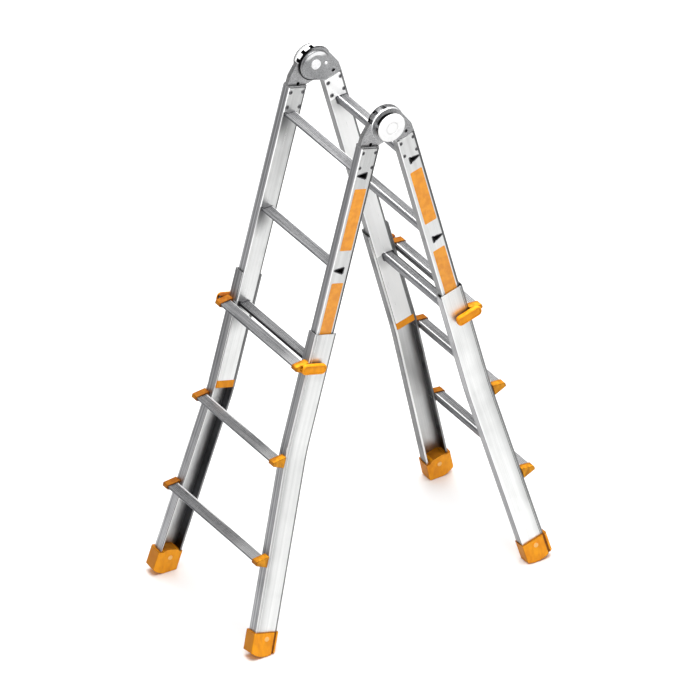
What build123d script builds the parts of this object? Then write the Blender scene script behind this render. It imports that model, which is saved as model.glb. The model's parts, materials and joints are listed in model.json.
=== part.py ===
"""Telescopic multi-purpose ladder, standing open as an A-frame with both halves at full length.

Millimetres, +Z up, origin on the floor under the middle of the hinge axis. X runs along the hinge axis.
Each half is drawn upright in its own frame: the hinge axis is its x axis, y points inward (so "out" is -y)
and z points up the rails (so "drop", the distance down from the hinge axis, is -z).
"""
from build123d import *
from math import asin, cos, pi, radians, sin, sqrt, tan
import os

os.makedirs("parts", exist_ok=True)

# Layout
half_angle = 15.0            # lean of each half from upright
rung_pitch = 280.0
rung_count = 3               # rungs on each inner and each outer ladder
rail_offset = 39.0           # rail centre line, outward from the hinge axis
first_tread = 138.2          # drop of the highest inner tread at the rail centre line
tread_lead = 7.0             # how far an outer tread stands above the inner tread beside it
sole_drop = 289.0            # drop of the soles' lowest line below the lowest outer tread

# Inner rails, box extrusions with a shallow recess along the outer face
inner_gap = 325.0            # clear width between the two inner rails
inner_width = 31.0
inner_wall = 2.2
inner_corner = 4.0
inner_top = 67.7             # drop of the rail's upper end
inner_tail = 236.0           # rail below its lowest tread
recess_margin = 5.5          # plain face beside the recess
recess_depth = 1.2

# Inner rungs, triangular tubes right through the rails
inner_rung_depth = 31.0
inner_rung_out = 5.5         # rung middle, outward from the rail centre line
inner_rung_back = 24.0
inner_rung_nose = 5.0
rung_wall = 2.0
rung_corner = 2.4
rung_fit = 0.1               # gap between a rung and the hole that it goes through
collar_width = 2.5           # swaged bead beside the rail
collar_height = 2.5

# Tread grooves
groove_width = 2.0
groove_depth = 0.8
groove_pitch = 4.6
groove_margin = 4.5

# End plugs of the inner rails
plug_height = 22.0
plug_spigot = 30.0
plug_fit = 0.2
glide_gap = 0.4              # between a plug and the channel that it slides in

# Outer rails, channels open to the middle, straight and then flared
outer_width = 31.7
outer_depth = 68.6
outer_wall = 3.0
outer_corner = 4.0
web_gap = 0.5                # between the inner rail's face and the channel's web
bead_gap = 0.5               # between the inner rail and the guide beads
bead_height = 2.3
bead_width = 5.0
outer_head = 78.0            # rail above its highest tread
outer_straight = 240.0       # highest tread to the start of the bend
bend_radius = 650.0
flare_angle = 6.2
outer_tail = 29.0            # rail inside its foot, below the rim
relief_gap = 1.0             # left round the hinge's neck by the cut-out in the inward flange

# Outer rungs, triangular tubes held in their end caps
outer_rung_depth = 32.0
outer_rung_back = 20.0
outer_rung_nose = 6.0

# Rung end caps, riveted to the outward flanges
cap_back = 2.6               # back wall, between flange and rung
cap_wall = 2.6
cap_rise = 6.5               # cap above the tread's rear edge
cap_overlap = 21.0           # sleeve over the rung's end
cap_end = 3.0                # closed end
cap_out = 1.0                # cap beyond the rail's outer face
cap_mouth = 9.0              # hollow round the rung at the cap's inner end
cap_corner = 3.5
cap_fit = 0.15
cap_rivet_radius = 3.0
cap_rivet_spacing = 9.0

# Lock levers, their brackets and pins
lever_length = 76.0
lever_height = 29.0
lever_thickness = 16.0
lever_corner = 12.0          # rounded ends, seen from the side
lever_edge = 3.5             # rounding of the outer face's edge
lever_round = 7.0            # rounding of the back's edge
lever_gap = 2.0              # between lever and web
lever_pivot_out = 52.0       # pivot, outward from the rail centre line
lever_end = 8.0              # lever beyond its pivot
lever_drop = 17.0            # lever middle below the tread line at the rail centre
panel_border = 5.0           # rim round the sunk panel in the outer face
panel_depth = 1.4
fork_depth = 10.0            # slot in the lever's back for the bracket's lug
lug_thickness = 5.0
lug_gap = 0.4
pivot_radius = 3.0
pivot_length = 20.6
pin_fit = 0.05               # running clearance of pins and axles
lock_pin_radius = 6.0
lock_pin_socket = 5.0
lock_pin_entry = 2.6         # how far the lock pin reaches into the web
lock_slot_length = 4.0       # slot beyond the pin's diameter
lock_slot_gap = 0.7
lever_wire = 1.4
coil_gap = 0.5               # between a torsion coil, its pivot and its pocket
lever_coil_pitch = 2.0
lever_coil_turns = 4

# Feet, boots round the outer rails' lower ends
foot_width = 42.0
foot_depth = 78.0
foot_out = 2.0               # boot's middle, outward from the rail centre line
foot_height = 68.0           # rim above the sole's lowest line, along the rail
foot_tongue = 8.0            # rounded tongue above the rim, inside the channel
tongue_corner = 18.0
sole_rise = 12.0             # rounded sole's edges above its lowest line
sole_flat = 3.0              # greatest depth cut off level by the floor
foot_round = 5.0
foot_fit = 0.2
foot_groove_width = 5.5
foot_groove_depth = 2.5
foot_groove_inset = 11.0     # groove's middle, from the edge on the ladder's rear side
foot_rivet_drop = 17.0       # below the rim
foot_rivet_radius = 4.0

# Rivet heads
head_radius = 6.5
head_height = 2.4
head_round = 1.6
rivet_fit = 0.05

# Hinge plates
disc_radius = 51.0
disc_thickness = 14.0
cheek_radius = 48.5
cheek_thickness = 5.0
hinge_gap = 0.4              # running gap between disc and cheeks
shoulder_lip = 0.3           # shoulders of the hinge plates beyond the rail's edges
tang_fit = 0.3
tang_length = 62.0           # spigot inside the rail
spigot_inset = 4.0           # thick part of the spigot, below the rail's end
neck_drop = 63.0             # drop of the inner shoulder's corner
crest_drop = 36.0            # drop of the outer shoulder's crest
crest_inset = 1.6
neck_hole_radius = 5.0
disc_hole = (36.0, 59.0)     # outward and down from the hinge axis
cheek_hole = (45.0, 52.0)
notch_width = 11.0
notch_depth = 10.0
notch_first = 8.0            # first lock notch, degrees above straight outward
notch_step = 30.0
notch_count = 3
boss_radius = 41.0
boss_height = 3.8
boss_round = 2.0

# Hinge axles, rivets and stop pins
axle_radius = 9.0
axle_head_radius = 14.0
axle_head_height = 3.0
guide_radius = 7.0           # thinner end of the axle that guides the knob
guide_gap = 1.0              # left in the knob's bore when the knob is pressed
rivet_radius = 4.0
rivet_first = 12.5           # first rivet row below the rail end
rivet_pitch = 43.5
rivet_margin = 8.5           # rivet rows from the rail's edges
stop_pin_radius = 4.0

# Hinge knobs, lock bolts and return springs
knob_radius = 40.5
knob_thickness = 9.0
knob_round = 3.0
knob_space = 13.2            # between the outer cheek and the knob's rim
knob_travel = 8.0
knob_hub_radius = 15.0
knob_hub_height = 4.8
knob_ring_radius = 17.0
knob_ring_width = 2.0
knob_ring_depth = 1.0
knob_cap = 2.0               # knob left over the end of its bore
bolt_radius = 4.0
bolt_circle = 32.0
bolt_angle = 25.0            # bolts' place, degrees below straight outward
bolt_gap = 0.3
bolt_socket = 4.0
knob_wire = 1.8
knob_coil_radius = 19.5
knob_coil_turns = 2.5
coil_end_gap = 0.1

# Worked out from the sizes above: inner ladder
lean = radians(half_angle)
flare = radians(flare_angle)
tread_slope = tan(lean)
inner_face = inner_gap / 2
inner_depth = outer_depth - 2 * (outer_wall + bead_height + bead_gap)
recess_width = inner_depth - 2 * recess_margin
inner_back_face = inner_face + inner_width
inner_middle = inner_face + inner_width / 2
recess_face = inner_back_face - recess_depth
cavity_face = inner_face + inner_wall
cavity_back_face = recess_face - inner_wall
cavity_middle = (cavity_face + cavity_back_face) / 2
cavity_width = cavity_back_face - cavity_face
cavity_depth = inner_depth - 2 * inner_wall
inner_treads = [first_tread + rung_pitch * i for i in range(rung_count)]
inner_bottom = inner_treads[-1] + inner_tail
inner_rear = rail_offset + inner_rung_out - inner_rung_depth / 2

# Outer ladder
web_face = inner_back_face + web_gap
outer_face = web_face + outer_wall
outer_middle = outer_face - outer_width / 2
flange_out = rail_offset + outer_depth / 2
slide_travel = rung_pitch * (rung_count - 1)
outer_treads = [tread + slide_travel - tread_lead for tread in inner_treads]
outer_top = outer_treads[0] - outer_head
relief_height = neck_drop + relief_gap - (outer_top - slide_travel)
bend_start = outer_treads[0] + outer_straight
bend_end = bend_start + bend_radius * sin(flare)
bend_shift = bend_radius * (1 - cos(flare))
foot_rim = outer_treads[-1] + sole_drop - foot_height
outer_bottom = foot_rim + outer_tail
outer_rear = flange_out + cap_back + cap_fit
cap_start = outer_face - cap_overlap
cap_stop = outer_face + cap_out
cap_rivet_middle = (cap_start + cap_stop - cap_end) / 2
lever_face = outer_face + lever_gap
lever_middle = lever_face + lever_thickness / 2
lever_pivot = rail_offset + lever_pivot_out
lever_centre = outer_treads[0] + lever_drop
lever_coil_radius = pivot_radius + coil_gap + lever_wire / 2
lever_coil_height = lever_coil_turns * lever_coil_pitch
coil_space = lever_coil_height + lever_wire + 2 * coil_gap
pocket_radius = lever_coil_radius + lever_wire / 2 + coil_gap
lug_radius = pocket_radius - lug_gap
fork_height = coil_space + lug_thickness + 2 * lug_gap
fork_top = lever_centre - fork_height / 2
fork_bottom = lever_centre + fork_height / 2
sole_radius = (foot_depth / 2) ** 2 / (2 * sole_rise) + sole_rise / 2

# Hinge
cheek_face = cavity_face + tang_fit
cheek_back_face = cheek_face + cheek_thickness
disc_face = cheek_back_face + hinge_gap
disc_back_face = disc_face + disc_thickness
outer_cheek_face = disc_back_face + hinge_gap
hinge_back_face = outer_cheek_face + cheek_thickness
boss_face = cheek_face - boss_height
shoulder_drop = inner_top - tang_fit
spigot_top = inner_top + spigot_inset
tang_bottom = inner_top + tang_length
spigot_depth = cavity_depth - 2 * tang_fit
tang_width = inner_depth + 2 * shoulder_lip
rivet_spacing = inner_depth - 2 * rivet_margin
knob_face = hinge_back_face + knob_space
knob_back_face = knob_face + knob_thickness
bore_start = knob_face - knob_hub_height
bore_end = knob_back_face - knob_cap
guide_end = bore_end - knob_travel - guide_gap
bolt_tip = outer_cheek_face + bolt_gap
groove_floor = bolt_tip - knob_travel - bolt_gap
bolt_place = (bolt_circle * cos(radians(bolt_angle)), bolt_circle * sin(radians(bolt_angle)))
bolt_places = (bolt_place, (-bolt_place[0], -bolt_place[1]))

# Height of the hinge axis over the rounded soles, which lean and flare with the rails and are cut level
rim_height = foot_rim * cos(lean) - (rail_offset + foot_out) * sin(lean)
sole_middle = (foot_height - sole_radius) * cos(lean) * cos(flare)
sole_reach = sole_radius * sqrt(sin(lean) ** 2 + (cos(lean) * cos(flare)) ** 2)
sole_edge = foot_width / 2 * sin(flare) * cos(lean)
hinge_height = rim_height + sole_middle + sole_reach + sole_edge - sole_flat
front = Pos(0, 0, hinge_height) * Rot(-half_angle, 0, 0)
rear = Pos(0, 0, hinge_height) * Rot(0, 0, 180) * Rot(-half_angle, 0, 0)
front_sides = {"left": -1, "right": 1}
rear_sides = {"left": 1, "right": -1}


# Shared frames
def placed(frame, plane):
    """A plane carried into a frame."""
    return Plane(frame * plane.location)


def section(half, drop):
    """Plane square to the rails: x across the ladder, -y outward, facing up the rails."""
    return placed(half, Plane.XY.offset(-drop))


def side_plane(half, across):
    """Plane parallel to the rails' sides, a distance across from the ladder's middle."""
    return placed(half, Plane.YZ.offset(across))


def flange_plane(half, out):
    """Plane parallel to the flanges, facing outward: x across the ladder, y up the rails."""
    return placed(half, Plane.XZ.offset(out))


def spot(out, drop):
    """Point on a side plane."""
    return (-out, -drop)


def rail_axis(half):
    """Direction up the rails, for choosing faces."""
    return Axis((0, 0, 0), placed(half, Plane.XY).z_dir)


def side_axis(half, side):
    """Direction away from the ladder's middle, for choosing faces."""
    return Axis((0, 0, 0), placed(half, Plane.YZ).z_dir * side)


def shift_at(drop):
    """How far the flared outer rail has moved away from the ladder's middle at this drop."""
    if drop <= bend_start:
        return 0.0
    if drop <= bend_end:
        return bend_radius * (1 - cos(asin((drop - bend_start) / bend_radius)))
    return bend_shift + (drop - bend_end) * tan(flare)


def rail_frame(half, side, drop):
    """Frame on the flared rail's centre line, with z up along the flared rail."""
    across = side * (outer_middle + shift_at(drop))
    return half * Location((across, -rail_offset, -drop), (0, -side * flare_angle, 0))


def tread_at(tread, out):
    """Drop of a tread, level on the open ladder, at this distance outward."""
    return tread + (out - rail_offset) * tread_slope


# Shared outlines
def rung_outline(plane, tread, rear_out, depth, back, nose, grow):
    """Triangular rung: level tread on top, thin nose outward, tall back."""
    front_out = rear_out + depth
    with BuildSketch(plane) as outline:
        with BuildLine():
            Polyline(
                spot(rear_out, tread_at(tread, rear_out)),
                spot(front_out, tread_at(tread, front_out)),
                spot(front_out, tread_at(tread, front_out) + nose),
                spot(rear_out, tread_at(tread, rear_out) + back),
                close=True,
            )
        make_face()
        fillet(outline.vertices(), rung_corner)
        if grow:
            offset(amount=grow, mode=Mode.REPLACE)
    return outline.sketch


def inner_rung_outline(plane, tread, grow=0.0):
    return rung_outline(plane, tread, inner_rear, inner_rung_depth, inner_rung_back, inner_rung_nose, grow)


def outer_rung_outline(plane, tread, grow=0.0):
    return rung_outline(plane, tread, outer_rear, outer_rung_depth, outer_rung_back, outer_rung_nose, grow)


def tread_grooves(plane, tread, rear_out, depth):
    """Grooves along the tread, as many as fit between its margins."""
    count = int((depth - 2 * groove_margin) / groove_pitch) + 1
    start = rear_out + (depth - groove_pitch * (count - 1)) / 2
    outs = [start + groove_pitch * i for i in range(count)]
    with BuildSketch(plane) as grooves:
        with Locations(*[spot(out, tread_at(tread, out)) for out in outs]):
            Rectangle(groove_width, 2 * groove_depth, rotation=half_angle)
    return grooves.sketch


def channel_outline(side, grow=0.0):
    """Outer rail's section about the middle of its box, web on the given side."""
    inside = outer_depth - 2 * outer_wall
    bead_across = side * (bead_width - outer_width) / 2
    bead_middle = (inside - bead_height) / 2
    with BuildSketch() as channel:
        Rectangle(outer_width, outer_depth)
        with Locations((-side * outer_wall, 0)):
            Rectangle(outer_width, inside, mode=Mode.SUBTRACT)
        web_edge = channel.vertices().group_by(Axis.X)[-1 if side > 0 else 0]
        fillet(web_edge, outer_corner)
        with Locations((bead_across, bead_middle), (bead_across, -bead_middle)):
            Rectangle(bead_width, bead_height)
        if grow:
            offset(amount=grow, mode=Mode.REPLACE)
    return channel.sketch


def rivet_drop(tread):
    """Drop of an end cap's rivets, half way down the back of the rung."""
    return tread_at(tread, flange_out) + outer_rung_back / 2


def cap_rivet_outline(half, out, tread, sides, radius):
    """Rivet shanks or holes of a rung's end caps, drawn on a plane parallel to the flanges."""
    drop = rivet_drop(tread)
    middle = cap_rivet_middle + shift_at(drop)
    places = [middle - cap_rivet_spacing / 2, middle + cap_rivet_spacing / 2]
    with BuildSketch(flange_plane(half, out)) as circles:
        with Locations(*[(side * place, -drop) for side in sides for place in places]):
            Circle(radius)
    return circles.sketch


def rail_rivet_outline(half, across, radius):
    """Rivet shanks, heads or holes at a rail's upper end, drawn on a side plane."""
    drops = [inner_top + rivet_first, inner_top + rivet_first + rivet_pitch]
    outs = [rail_offset - rivet_spacing / 2, rail_offset + rivet_spacing / 2]
    with BuildSketch(side_plane(half, across)) as circles:
        with Locations(*[spot(out, drop) for out in outs for drop in drops]):
            Circle(radius)
    return circles.sketch


def round_outline(half, across, radius, place=(0, 0)):
    """One circle on a side plane."""
    with BuildSketch(side_plane(half, across)) as circle:
        with Locations(spot(*place)):
            Circle(radius)
    return circle.sketch


def block_outline(half, across, depth, top, bottom):
    """Rectangle on a side plane, about the rail's centre line."""
    with BuildSketch(side_plane(half, across)) as block:
        with Locations(spot(rail_offset, (top + bottom) / 2)):
            Rectangle(depth, bottom - top)
    return block.sketch


def plate_outline(half, across, radius):
    """Round hinge plate drawn out to its two shoulders."""
    inner_shoulder = rail_offset - tang_width / 2
    outer_shoulder = rail_offset + tang_width / 2
    with BuildSketch(side_plane(half, across)) as plate:
        with BuildLine():
            CenterArc((0, 0), radius, 0, 360)
            Polyline(
                spot(inner_shoulder, neck_drop),
                spot(outer_shoulder, neck_drop),
                spot(outer_shoulder - crest_inset, crest_drop),
            )
        make_hull()
    return plate.sketch


def coil_path(base, radius, pitch, turns):
    """Helix round a plane's normal, as two arcs that meet smoothly for each quarter turn."""
    quarters = round(4 * turns)
    points = []
    headings = []
    for quarter in range(quarters + 1):
        angle = quarter * pi / 2
        points.append(base.from_local_coords((radius * cos(angle), radius * sin(angle), pitch * quarter / 4)))
        heading = base.from_local_coords((-radius * sin(angle), radius * cos(angle), pitch / (2 * pi)))
        headings.append((heading - base.origin).normalized())
    with BuildLine() as coil:
        for quarter in range(quarters):
            first, last = points[quarter], points[quarter + 1]
            leave, arrive = headings[quarter], headings[quarter + 1]
            chord = last - first
            along = chord.dot(leave + arrive)
            turn = 1 - leave.dot(arrive)
            reach = (sqrt(along**2 + 2 * turn * chord.dot(chord)) - along) / (2 * turn)
            bend_in = first + leave * reach
            bend_out = last - arrive * reach
            middle = (bend_in + bend_out) / 2
            TangentArc(first, middle, tangent=leave)
            TangentArc(middle, last, tangent=bend_out - bend_in)
    return coil.line


def least_gap(coil, wire, turns):
    """Least space between a coil's wire and its next turn, measured on points along it."""
    count = 24
    total = round(count * turns)
    places = [coil @ (i / total) for i in range(total + 1)]
    pairs = [(i, j) for i in range(total + 1) for j in range(i + count // 2, total + 1)]
    return min((places[i] - places[j]).length for i, j in pairs) - wire


def save(piece, name):
    """Label a finished piece and write it."""
    piece.part.label = name
    export_step(piece.part, f"parts/{name}.step")


# Inner rails
def inner_rail(half, side, name):
    with BuildPart() as rail:
        with BuildSketch(section(half, inner_bottom)):
            with Locations((side * inner_middle, -rail_offset)):
                RectangleRounded(inner_width, inner_depth, inner_corner)
            with Locations((side * cavity_middle, -rail_offset)):
                Rectangle(cavity_width, cavity_depth, mode=Mode.SUBTRACT)
            with Locations((side * (inner_back_face - recess_depth / 2), -rail_offset)):
                Rectangle(recess_depth, recess_width, mode=Mode.SUBTRACT)
        extrude(amount=inner_bottom - inner_top)
        for tread in inner_treads:
            hole = inner_rung_outline(side_plane(half, 0), tread, rung_fit)
            extrude(hole, amount=side * inner_back_face, mode=Mode.SUBTRACT)
        holes = rail_rivet_outline(half, 0, rivet_radius + rivet_fit)
        extrude(holes, amount=side * inner_back_face, mode=Mode.SUBTRACT)
    save(rail, name)


# Inner rungs
def inner_rung(half, tread, name):
    middle = side_plane(half, 0)
    with BuildPart() as rung:
        extrude(inner_rung_outline(middle, tread), amount=recess_face, both=True)
        for side in (-1, 1):
            collar = inner_rung_outline(side_plane(half, side * inner_face), tread, collar_height)
            extrude(collar, amount=-side * collar_width)
        hollow = inner_rung_outline(middle, tread, -rung_wall)
        extrude(hollow, amount=recess_face, both=True, mode=Mode.SUBTRACT)
        grooves = tread_grooves(middle, tread, inner_rear, inner_rung_depth)
        extrude(grooves, amount=inner_face - collar_width, both=True, mode=Mode.SUBTRACT)
    save(rung, name)


# End plugs of the inner rails
def inner_plugs(half, name):
    plug_depth = outer_depth - 2 * (outer_wall + bead_height + glide_gap)
    with BuildPart() as plugs:
        for side in (-1, 1):
            with BuildSketch(section(half, inner_bottom + plug_height)):
                with Locations((side * inner_middle, -rail_offset)):
                    RectangleRounded(inner_width, plug_depth, inner_corner)
            extrude(amount=plug_height)
            with BuildSketch(section(half, inner_bottom)):
                with Locations((side * cavity_middle, -rail_offset)):
                    Rectangle(cavity_width - 2 * plug_fit, cavity_depth - 2 * plug_fit)
            extrude(amount=plug_spigot)
    save(plugs, name)


# Outer rails
def outer_rail(half, side, name):
    start = side * outer_middle
    bent = side * (outer_middle + bend_shift)
    tail = side * (outer_middle + shift_at(outer_bottom))
    slot_width = 2 * (lock_pin_radius + lock_slot_gap)
    with BuildPart() as rail:
        with BuildLine(flange_plane(half, rail_offset)):
            Line((start, -outer_top), (start, -bend_start))
            TangentArc((start, -bend_start), (bent, -bend_end), tangent=-rail_axis(half).direction)
            Line((bent, -bend_end), (tail, -outer_bottom))
        with BuildSketch(section(half, outer_top)):
            with Locations((start, -rail_offset)):
                add(channel_outline(side))
        sweep()
        if relief_height > 0:
            with BuildSketch(section(half, outer_top)):
                with Locations((start - side * outer_wall / 2, outer_depth / 2 - rail_offset)):
                    Rectangle(outer_width - outer_wall, 2 * (outer_wall + bead_height + bead_gap))
            extrude(amount=-relief_height, mode=Mode.SUBTRACT)
        with BuildSketch(side_plane(half, start)):
            with Locations(spot(rail_offset, lever_centre)):
                SlotOverall(slot_width + lock_slot_length, slot_width)
        extrude(amount=side * outer_width, mode=Mode.SUBTRACT)
        for tread in outer_treads:
            holes = cap_rivet_outline(half, rail_offset, tread, [side], cap_rivet_radius + rivet_fit)
            extrude(holes, amount=outer_depth, mode=Mode.SUBTRACT)
        with BuildSketch(placed(rail_frame(half, side, foot_rim + foot_rivet_drop), Plane.YZ)):
            Circle(foot_rivet_radius + rivet_fit)
        extrude(amount=side * outer_width, mode=Mode.SUBTRACT)
    save(rail, name)


# Outer rungs
def outer_rung(half, tread, name):
    middle = side_plane(half, 0)
    shift = shift_at(rivet_drop(tread))
    end = cap_stop + shift - cap_end - cap_fit
    with BuildPart() as rung:
        extrude(outer_rung_outline(middle, tread), amount=end, both=True)
        extrude(outer_rung_outline(middle, tread, -rung_wall), amount=end, both=True, mode=Mode.SUBTRACT)
        grooves = tread_grooves(middle, tread, outer_rear, outer_rung_depth)
        extrude(grooves, amount=cap_start + shift, both=True, mode=Mode.SUBTRACT)
        holes = cap_rivet_outline(half, outer_rear, tread, [-1, 1], cap_rivet_radius + rivet_fit)
        extrude(holes, amount=2 * rung_wall, mode=Mode.SUBTRACT)
    save(rung, name)


# Rung end caps
def cap_outline(plane, tread, grow=0.0):
    """Wedge round the end of an outer rung, flat against the flange."""
    tip = outer_rear + outer_rung_depth + cap_wall
    with BuildSketch(plane) as cap:
        with BuildLine():
            Polyline(
                spot(flange_out, tread_at(tread, flange_out) - cap_rise),
                spot(tip, tread_at(tread, tip) - cap_wall),
                spot(tip, tread_at(tread, tip) + outer_rung_nose + cap_wall),
                spot(flange_out, tread_at(tread, flange_out) + outer_rung_back + 2 * cap_wall),
                close=True,
            )
        make_face()
        fillet(cap.vertices().sort_by(Axis.X)[:2], cap_corner)
        if grow:
            offset(amount=grow, mode=Mode.REPLACE)
    return cap.sketch


def cap_sleeve(half, side, tread):
    """Cap over the end of an outer rung, with its hollow mouth, the rung's socket and the rivet holes."""
    inner_end = side_plane(half, side * (cap_start + shift_at(rivet_drop(tread))))
    extrude(cap_outline(inner_end, tread), amount=side * (cap_stop - cap_start))
    extrude(cap_outline(inner_end, tread, -cap_wall), amount=side * cap_mouth, mode=Mode.SUBTRACT)
    socket = outer_rung_outline(inner_end, tread, cap_fit)
    extrude(socket, amount=side * (cap_stop - cap_end - cap_start), mode=Mode.SUBTRACT)
    holes = cap_rivet_outline(half, flange_out, tread, [side], cap_rivet_radius + rivet_fit)
    extrude(holes, amount=cap_back + cap_fit, mode=Mode.SUBTRACT)


def rung_caps(half, name):
    with BuildPart() as caps:
        for tread in outer_treads[1:]:
            for side in (-1, 1):
                cap_sleeve(half, side, tread)
    save(caps, name)


# Lever brackets: the top rung's caps with a lug for the lever's pivot
def lever_brackets(half, name):
    lug_start = cap_stop - cap_end
    lug_length = lever_middle - lug_start
    with BuildPart() as brackets:
        for side in (-1, 1):
            cap_sleeve(half, side, outer_treads[0])
            with BuildSketch(section(half, fork_bottom - lug_gap)):
                with Locations((side * (lug_start + lug_length / 2), -lever_pivot)):
                    Rectangle(lug_length, 2 * lug_radius)
                with Locations((side * lever_middle, -lever_pivot)):
                    Circle(lug_radius)
                    Circle(pivot_radius + rivet_fit, mode=Mode.SUBTRACT)
            extrude(amount=lug_thickness)
    save(brackets, name)


def lever_pivots(half, name):
    with BuildPart() as pivots:
        with BuildSketch(section(half, lever_centre + pivot_length / 2)):
            with Locations((lever_middle, -lever_pivot), (-lever_middle, -lever_pivot)):
                Circle(pivot_radius)
        extrude(amount=pivot_length)
    save(pivots, name)


def lever_springs(half, name):
    bottom = fork_top + coil_gap + lever_wire / 2 + lever_coil_height
    with BuildPart() as springs:
        for side in (-1, 1):
            base = Plane(half * Pos(side * lever_middle, -lever_pivot, -bottom))
            coil = coil_path(base, lever_coil_radius, lever_coil_pitch, lever_coil_turns)
            with BuildSketch(Plane(origin=coil @ 0, z_dir=coil % 0)):
                Circle(lever_wire / 2)
            sweep(path=coil)
    print(name, "least gap", round(least_gap(coil, lever_wire, lever_coil_turns), 2))
    save(springs, name)


# Lock levers and lock pins
def lock_lever(half, side, name):
    middle = lever_pivot + lever_end - lever_length / 2
    outer_plane = side_plane(half, side * (lever_face + lever_thickness))
    bore_length = pivot_length + lug_gap
    fork_length = pocket_radius + 2 * lever_end
    fork_middle = lever_pivot - pocket_radius + fork_length / 2
    with BuildPart() as lever:
        with BuildSketch(side_plane(half, side * lever_face)):
            with Locations(spot(middle, lever_centre)):
                RectangleRounded(lever_length, lever_height, lever_corner)
        extrude(amount=side * lever_thickness)
        fillet(lever.faces().sort_by(side_axis(half, side))[0].edges(), lever_round)
        fillet(lever.faces().sort_by(side_axis(half, side))[-1].edges(), lever_edge)
        with BuildSketch(outer_plane):
            with Locations(spot(middle, lever_centre)):
                RectangleRounded(
                    lever_length - 2 * panel_border,
                    lever_height - 2 * panel_border,
                    lever_corner - panel_border,
                )
        extrude(amount=-side * panel_depth, mode=Mode.SUBTRACT)
        with BuildSketch(section(half, lever_centre + bore_length / 2)):
            with Locations((side * lever_middle, -lever_pivot)):
                Circle(pivot_radius + pin_fit)
        extrude(amount=bore_length, mode=Mode.SUBTRACT)
        with BuildSketch(section(half, fork_bottom)):
            with Locations((side * lever_middle, -lever_pivot)):
                Circle(pocket_radius)
            with Locations((side * (lever_face + fork_depth / 2), -fork_middle)):
                Rectangle(fork_depth, fork_length)
        extrude(amount=fork_height, mode=Mode.SUBTRACT)
        pin_place = (rail_offset, lever_centre)
        socket = round_outline(half, side * lever_face, lock_pin_radius + rivet_fit, pin_place)
        extrude(socket, amount=side * lock_pin_socket, mode=Mode.SUBTRACT)
    save(lever, name)


def lock_pin(half, side, name):
    tip = outer_face - lock_pin_entry
    with BuildPart() as pin:
        outline = round_outline(half, side * tip, lock_pin_radius, (rail_offset, lever_centre))
        extrude(outline, amount=side * (lever_face + lock_pin_socket - tip))
    save(pin, name)


# Feet
def foot(half, side, rearward, name):
    """Boot round a rail's lower end; rearward is 1 where the ladder's rear lies inward, else -1."""
    boot_frame = rail_frame(half, side, foot_rim)
    boot_plane = placed(boot_frame, Plane.YZ)
    outward = -foot_out - foot_depth / 2
    inward = foot_depth / 2 - foot_out
    groove_middle = rearward * (foot_depth / 2 - foot_groove_inset) - foot_out
    sole_end = sole_rise - foot_height
    tongue_depth = outer_depth - 2 * (outer_wall + bead_height + foot_fit)
    tongue_back = outer_width / 2 - outer_wall - foot_fit
    slot_depth = outer_tail / cos(flare) + foot_fit
    with BuildPart() as boot:
        with BuildSketch(boot_plane):
            with BuildLine():
                Polyline((outward, sole_end), (outward, 0), (inward, 0), (inward, sole_end))
                ThreePointArc((inward, sole_end), (-foot_out, -foot_height), (outward, sole_end))
            make_face()
        extrude(amount=foot_width / 2, both=True)
        fillet(boot.edges().filter_by(Axis((0, 0, 0), placed(boot_frame, Plane.XY).z_dir)), foot_round)
        with BuildSketch(boot_plane.offset(-side * foot_width / 2)) as tongue:
            with Locations((0, (foot_tongue - foot_rivet_drop) / 2)):
                Rectangle(tongue_depth, foot_tongue + foot_rivet_drop)
            fillet(tongue.vertices().group_by(Axis.Y)[-1], tongue_corner)
        extrude(amount=side * (tongue_back + foot_width / 2))
        with BuildSketch(placed(boot_frame, Plane.XY.offset(-slot_depth))):
            add(channel_outline(side, foot_fit))
        extrude(amount=slot_depth + foot_tongue, mode=Mode.SUBTRACT)
        with BuildSketch(boot_plane.offset(side * foot_width / 2)):
            with Locations((groove_middle, -foot_height)):
                Rectangle(foot_groove_width, 2 * foot_height)
        extrude(amount=-side * foot_groove_depth, mode=Mode.SUBTRACT)
        with BuildSketch(boot_plane):
            with Locations((0, -foot_rivet_drop / cos(flare))):
                Circle(foot_rivet_radius + rivet_fit)
        extrude(amount=foot_width, both=True, mode=Mode.SUBTRACT)
        split(bisect_by=Plane.XY, keep=Keep.TOP)
    save(boot, name)


# Rivets of the outer ladder: flush ones in the caps, flat-headed ones through the feet
def outer_rivets(half, name):
    with BuildPart() as rivets:
        for side in (-1, 1):
            middle = placed(rail_frame(half, side, foot_rim + foot_rivet_drop), Plane.YZ)
            with BuildSketch(middle.offset(foot_width / 2), middle.offset(-foot_width / 2 - head_height)):
                Circle(head_radius)
            extrude(amount=head_height)
            with BuildSketch(middle):
                Circle(foot_rivet_radius)
            extrude(amount=foot_width / 2, both=True)
        for tread in outer_treads:
            shanks = cap_rivet_outline(half, flange_out - outer_wall, tread, [-1, 1], cap_rivet_radius)
            extrude(shanks, amount=outer_wall + cap_back + cap_fit + rung_wall)
    save(rivets, name)


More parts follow.
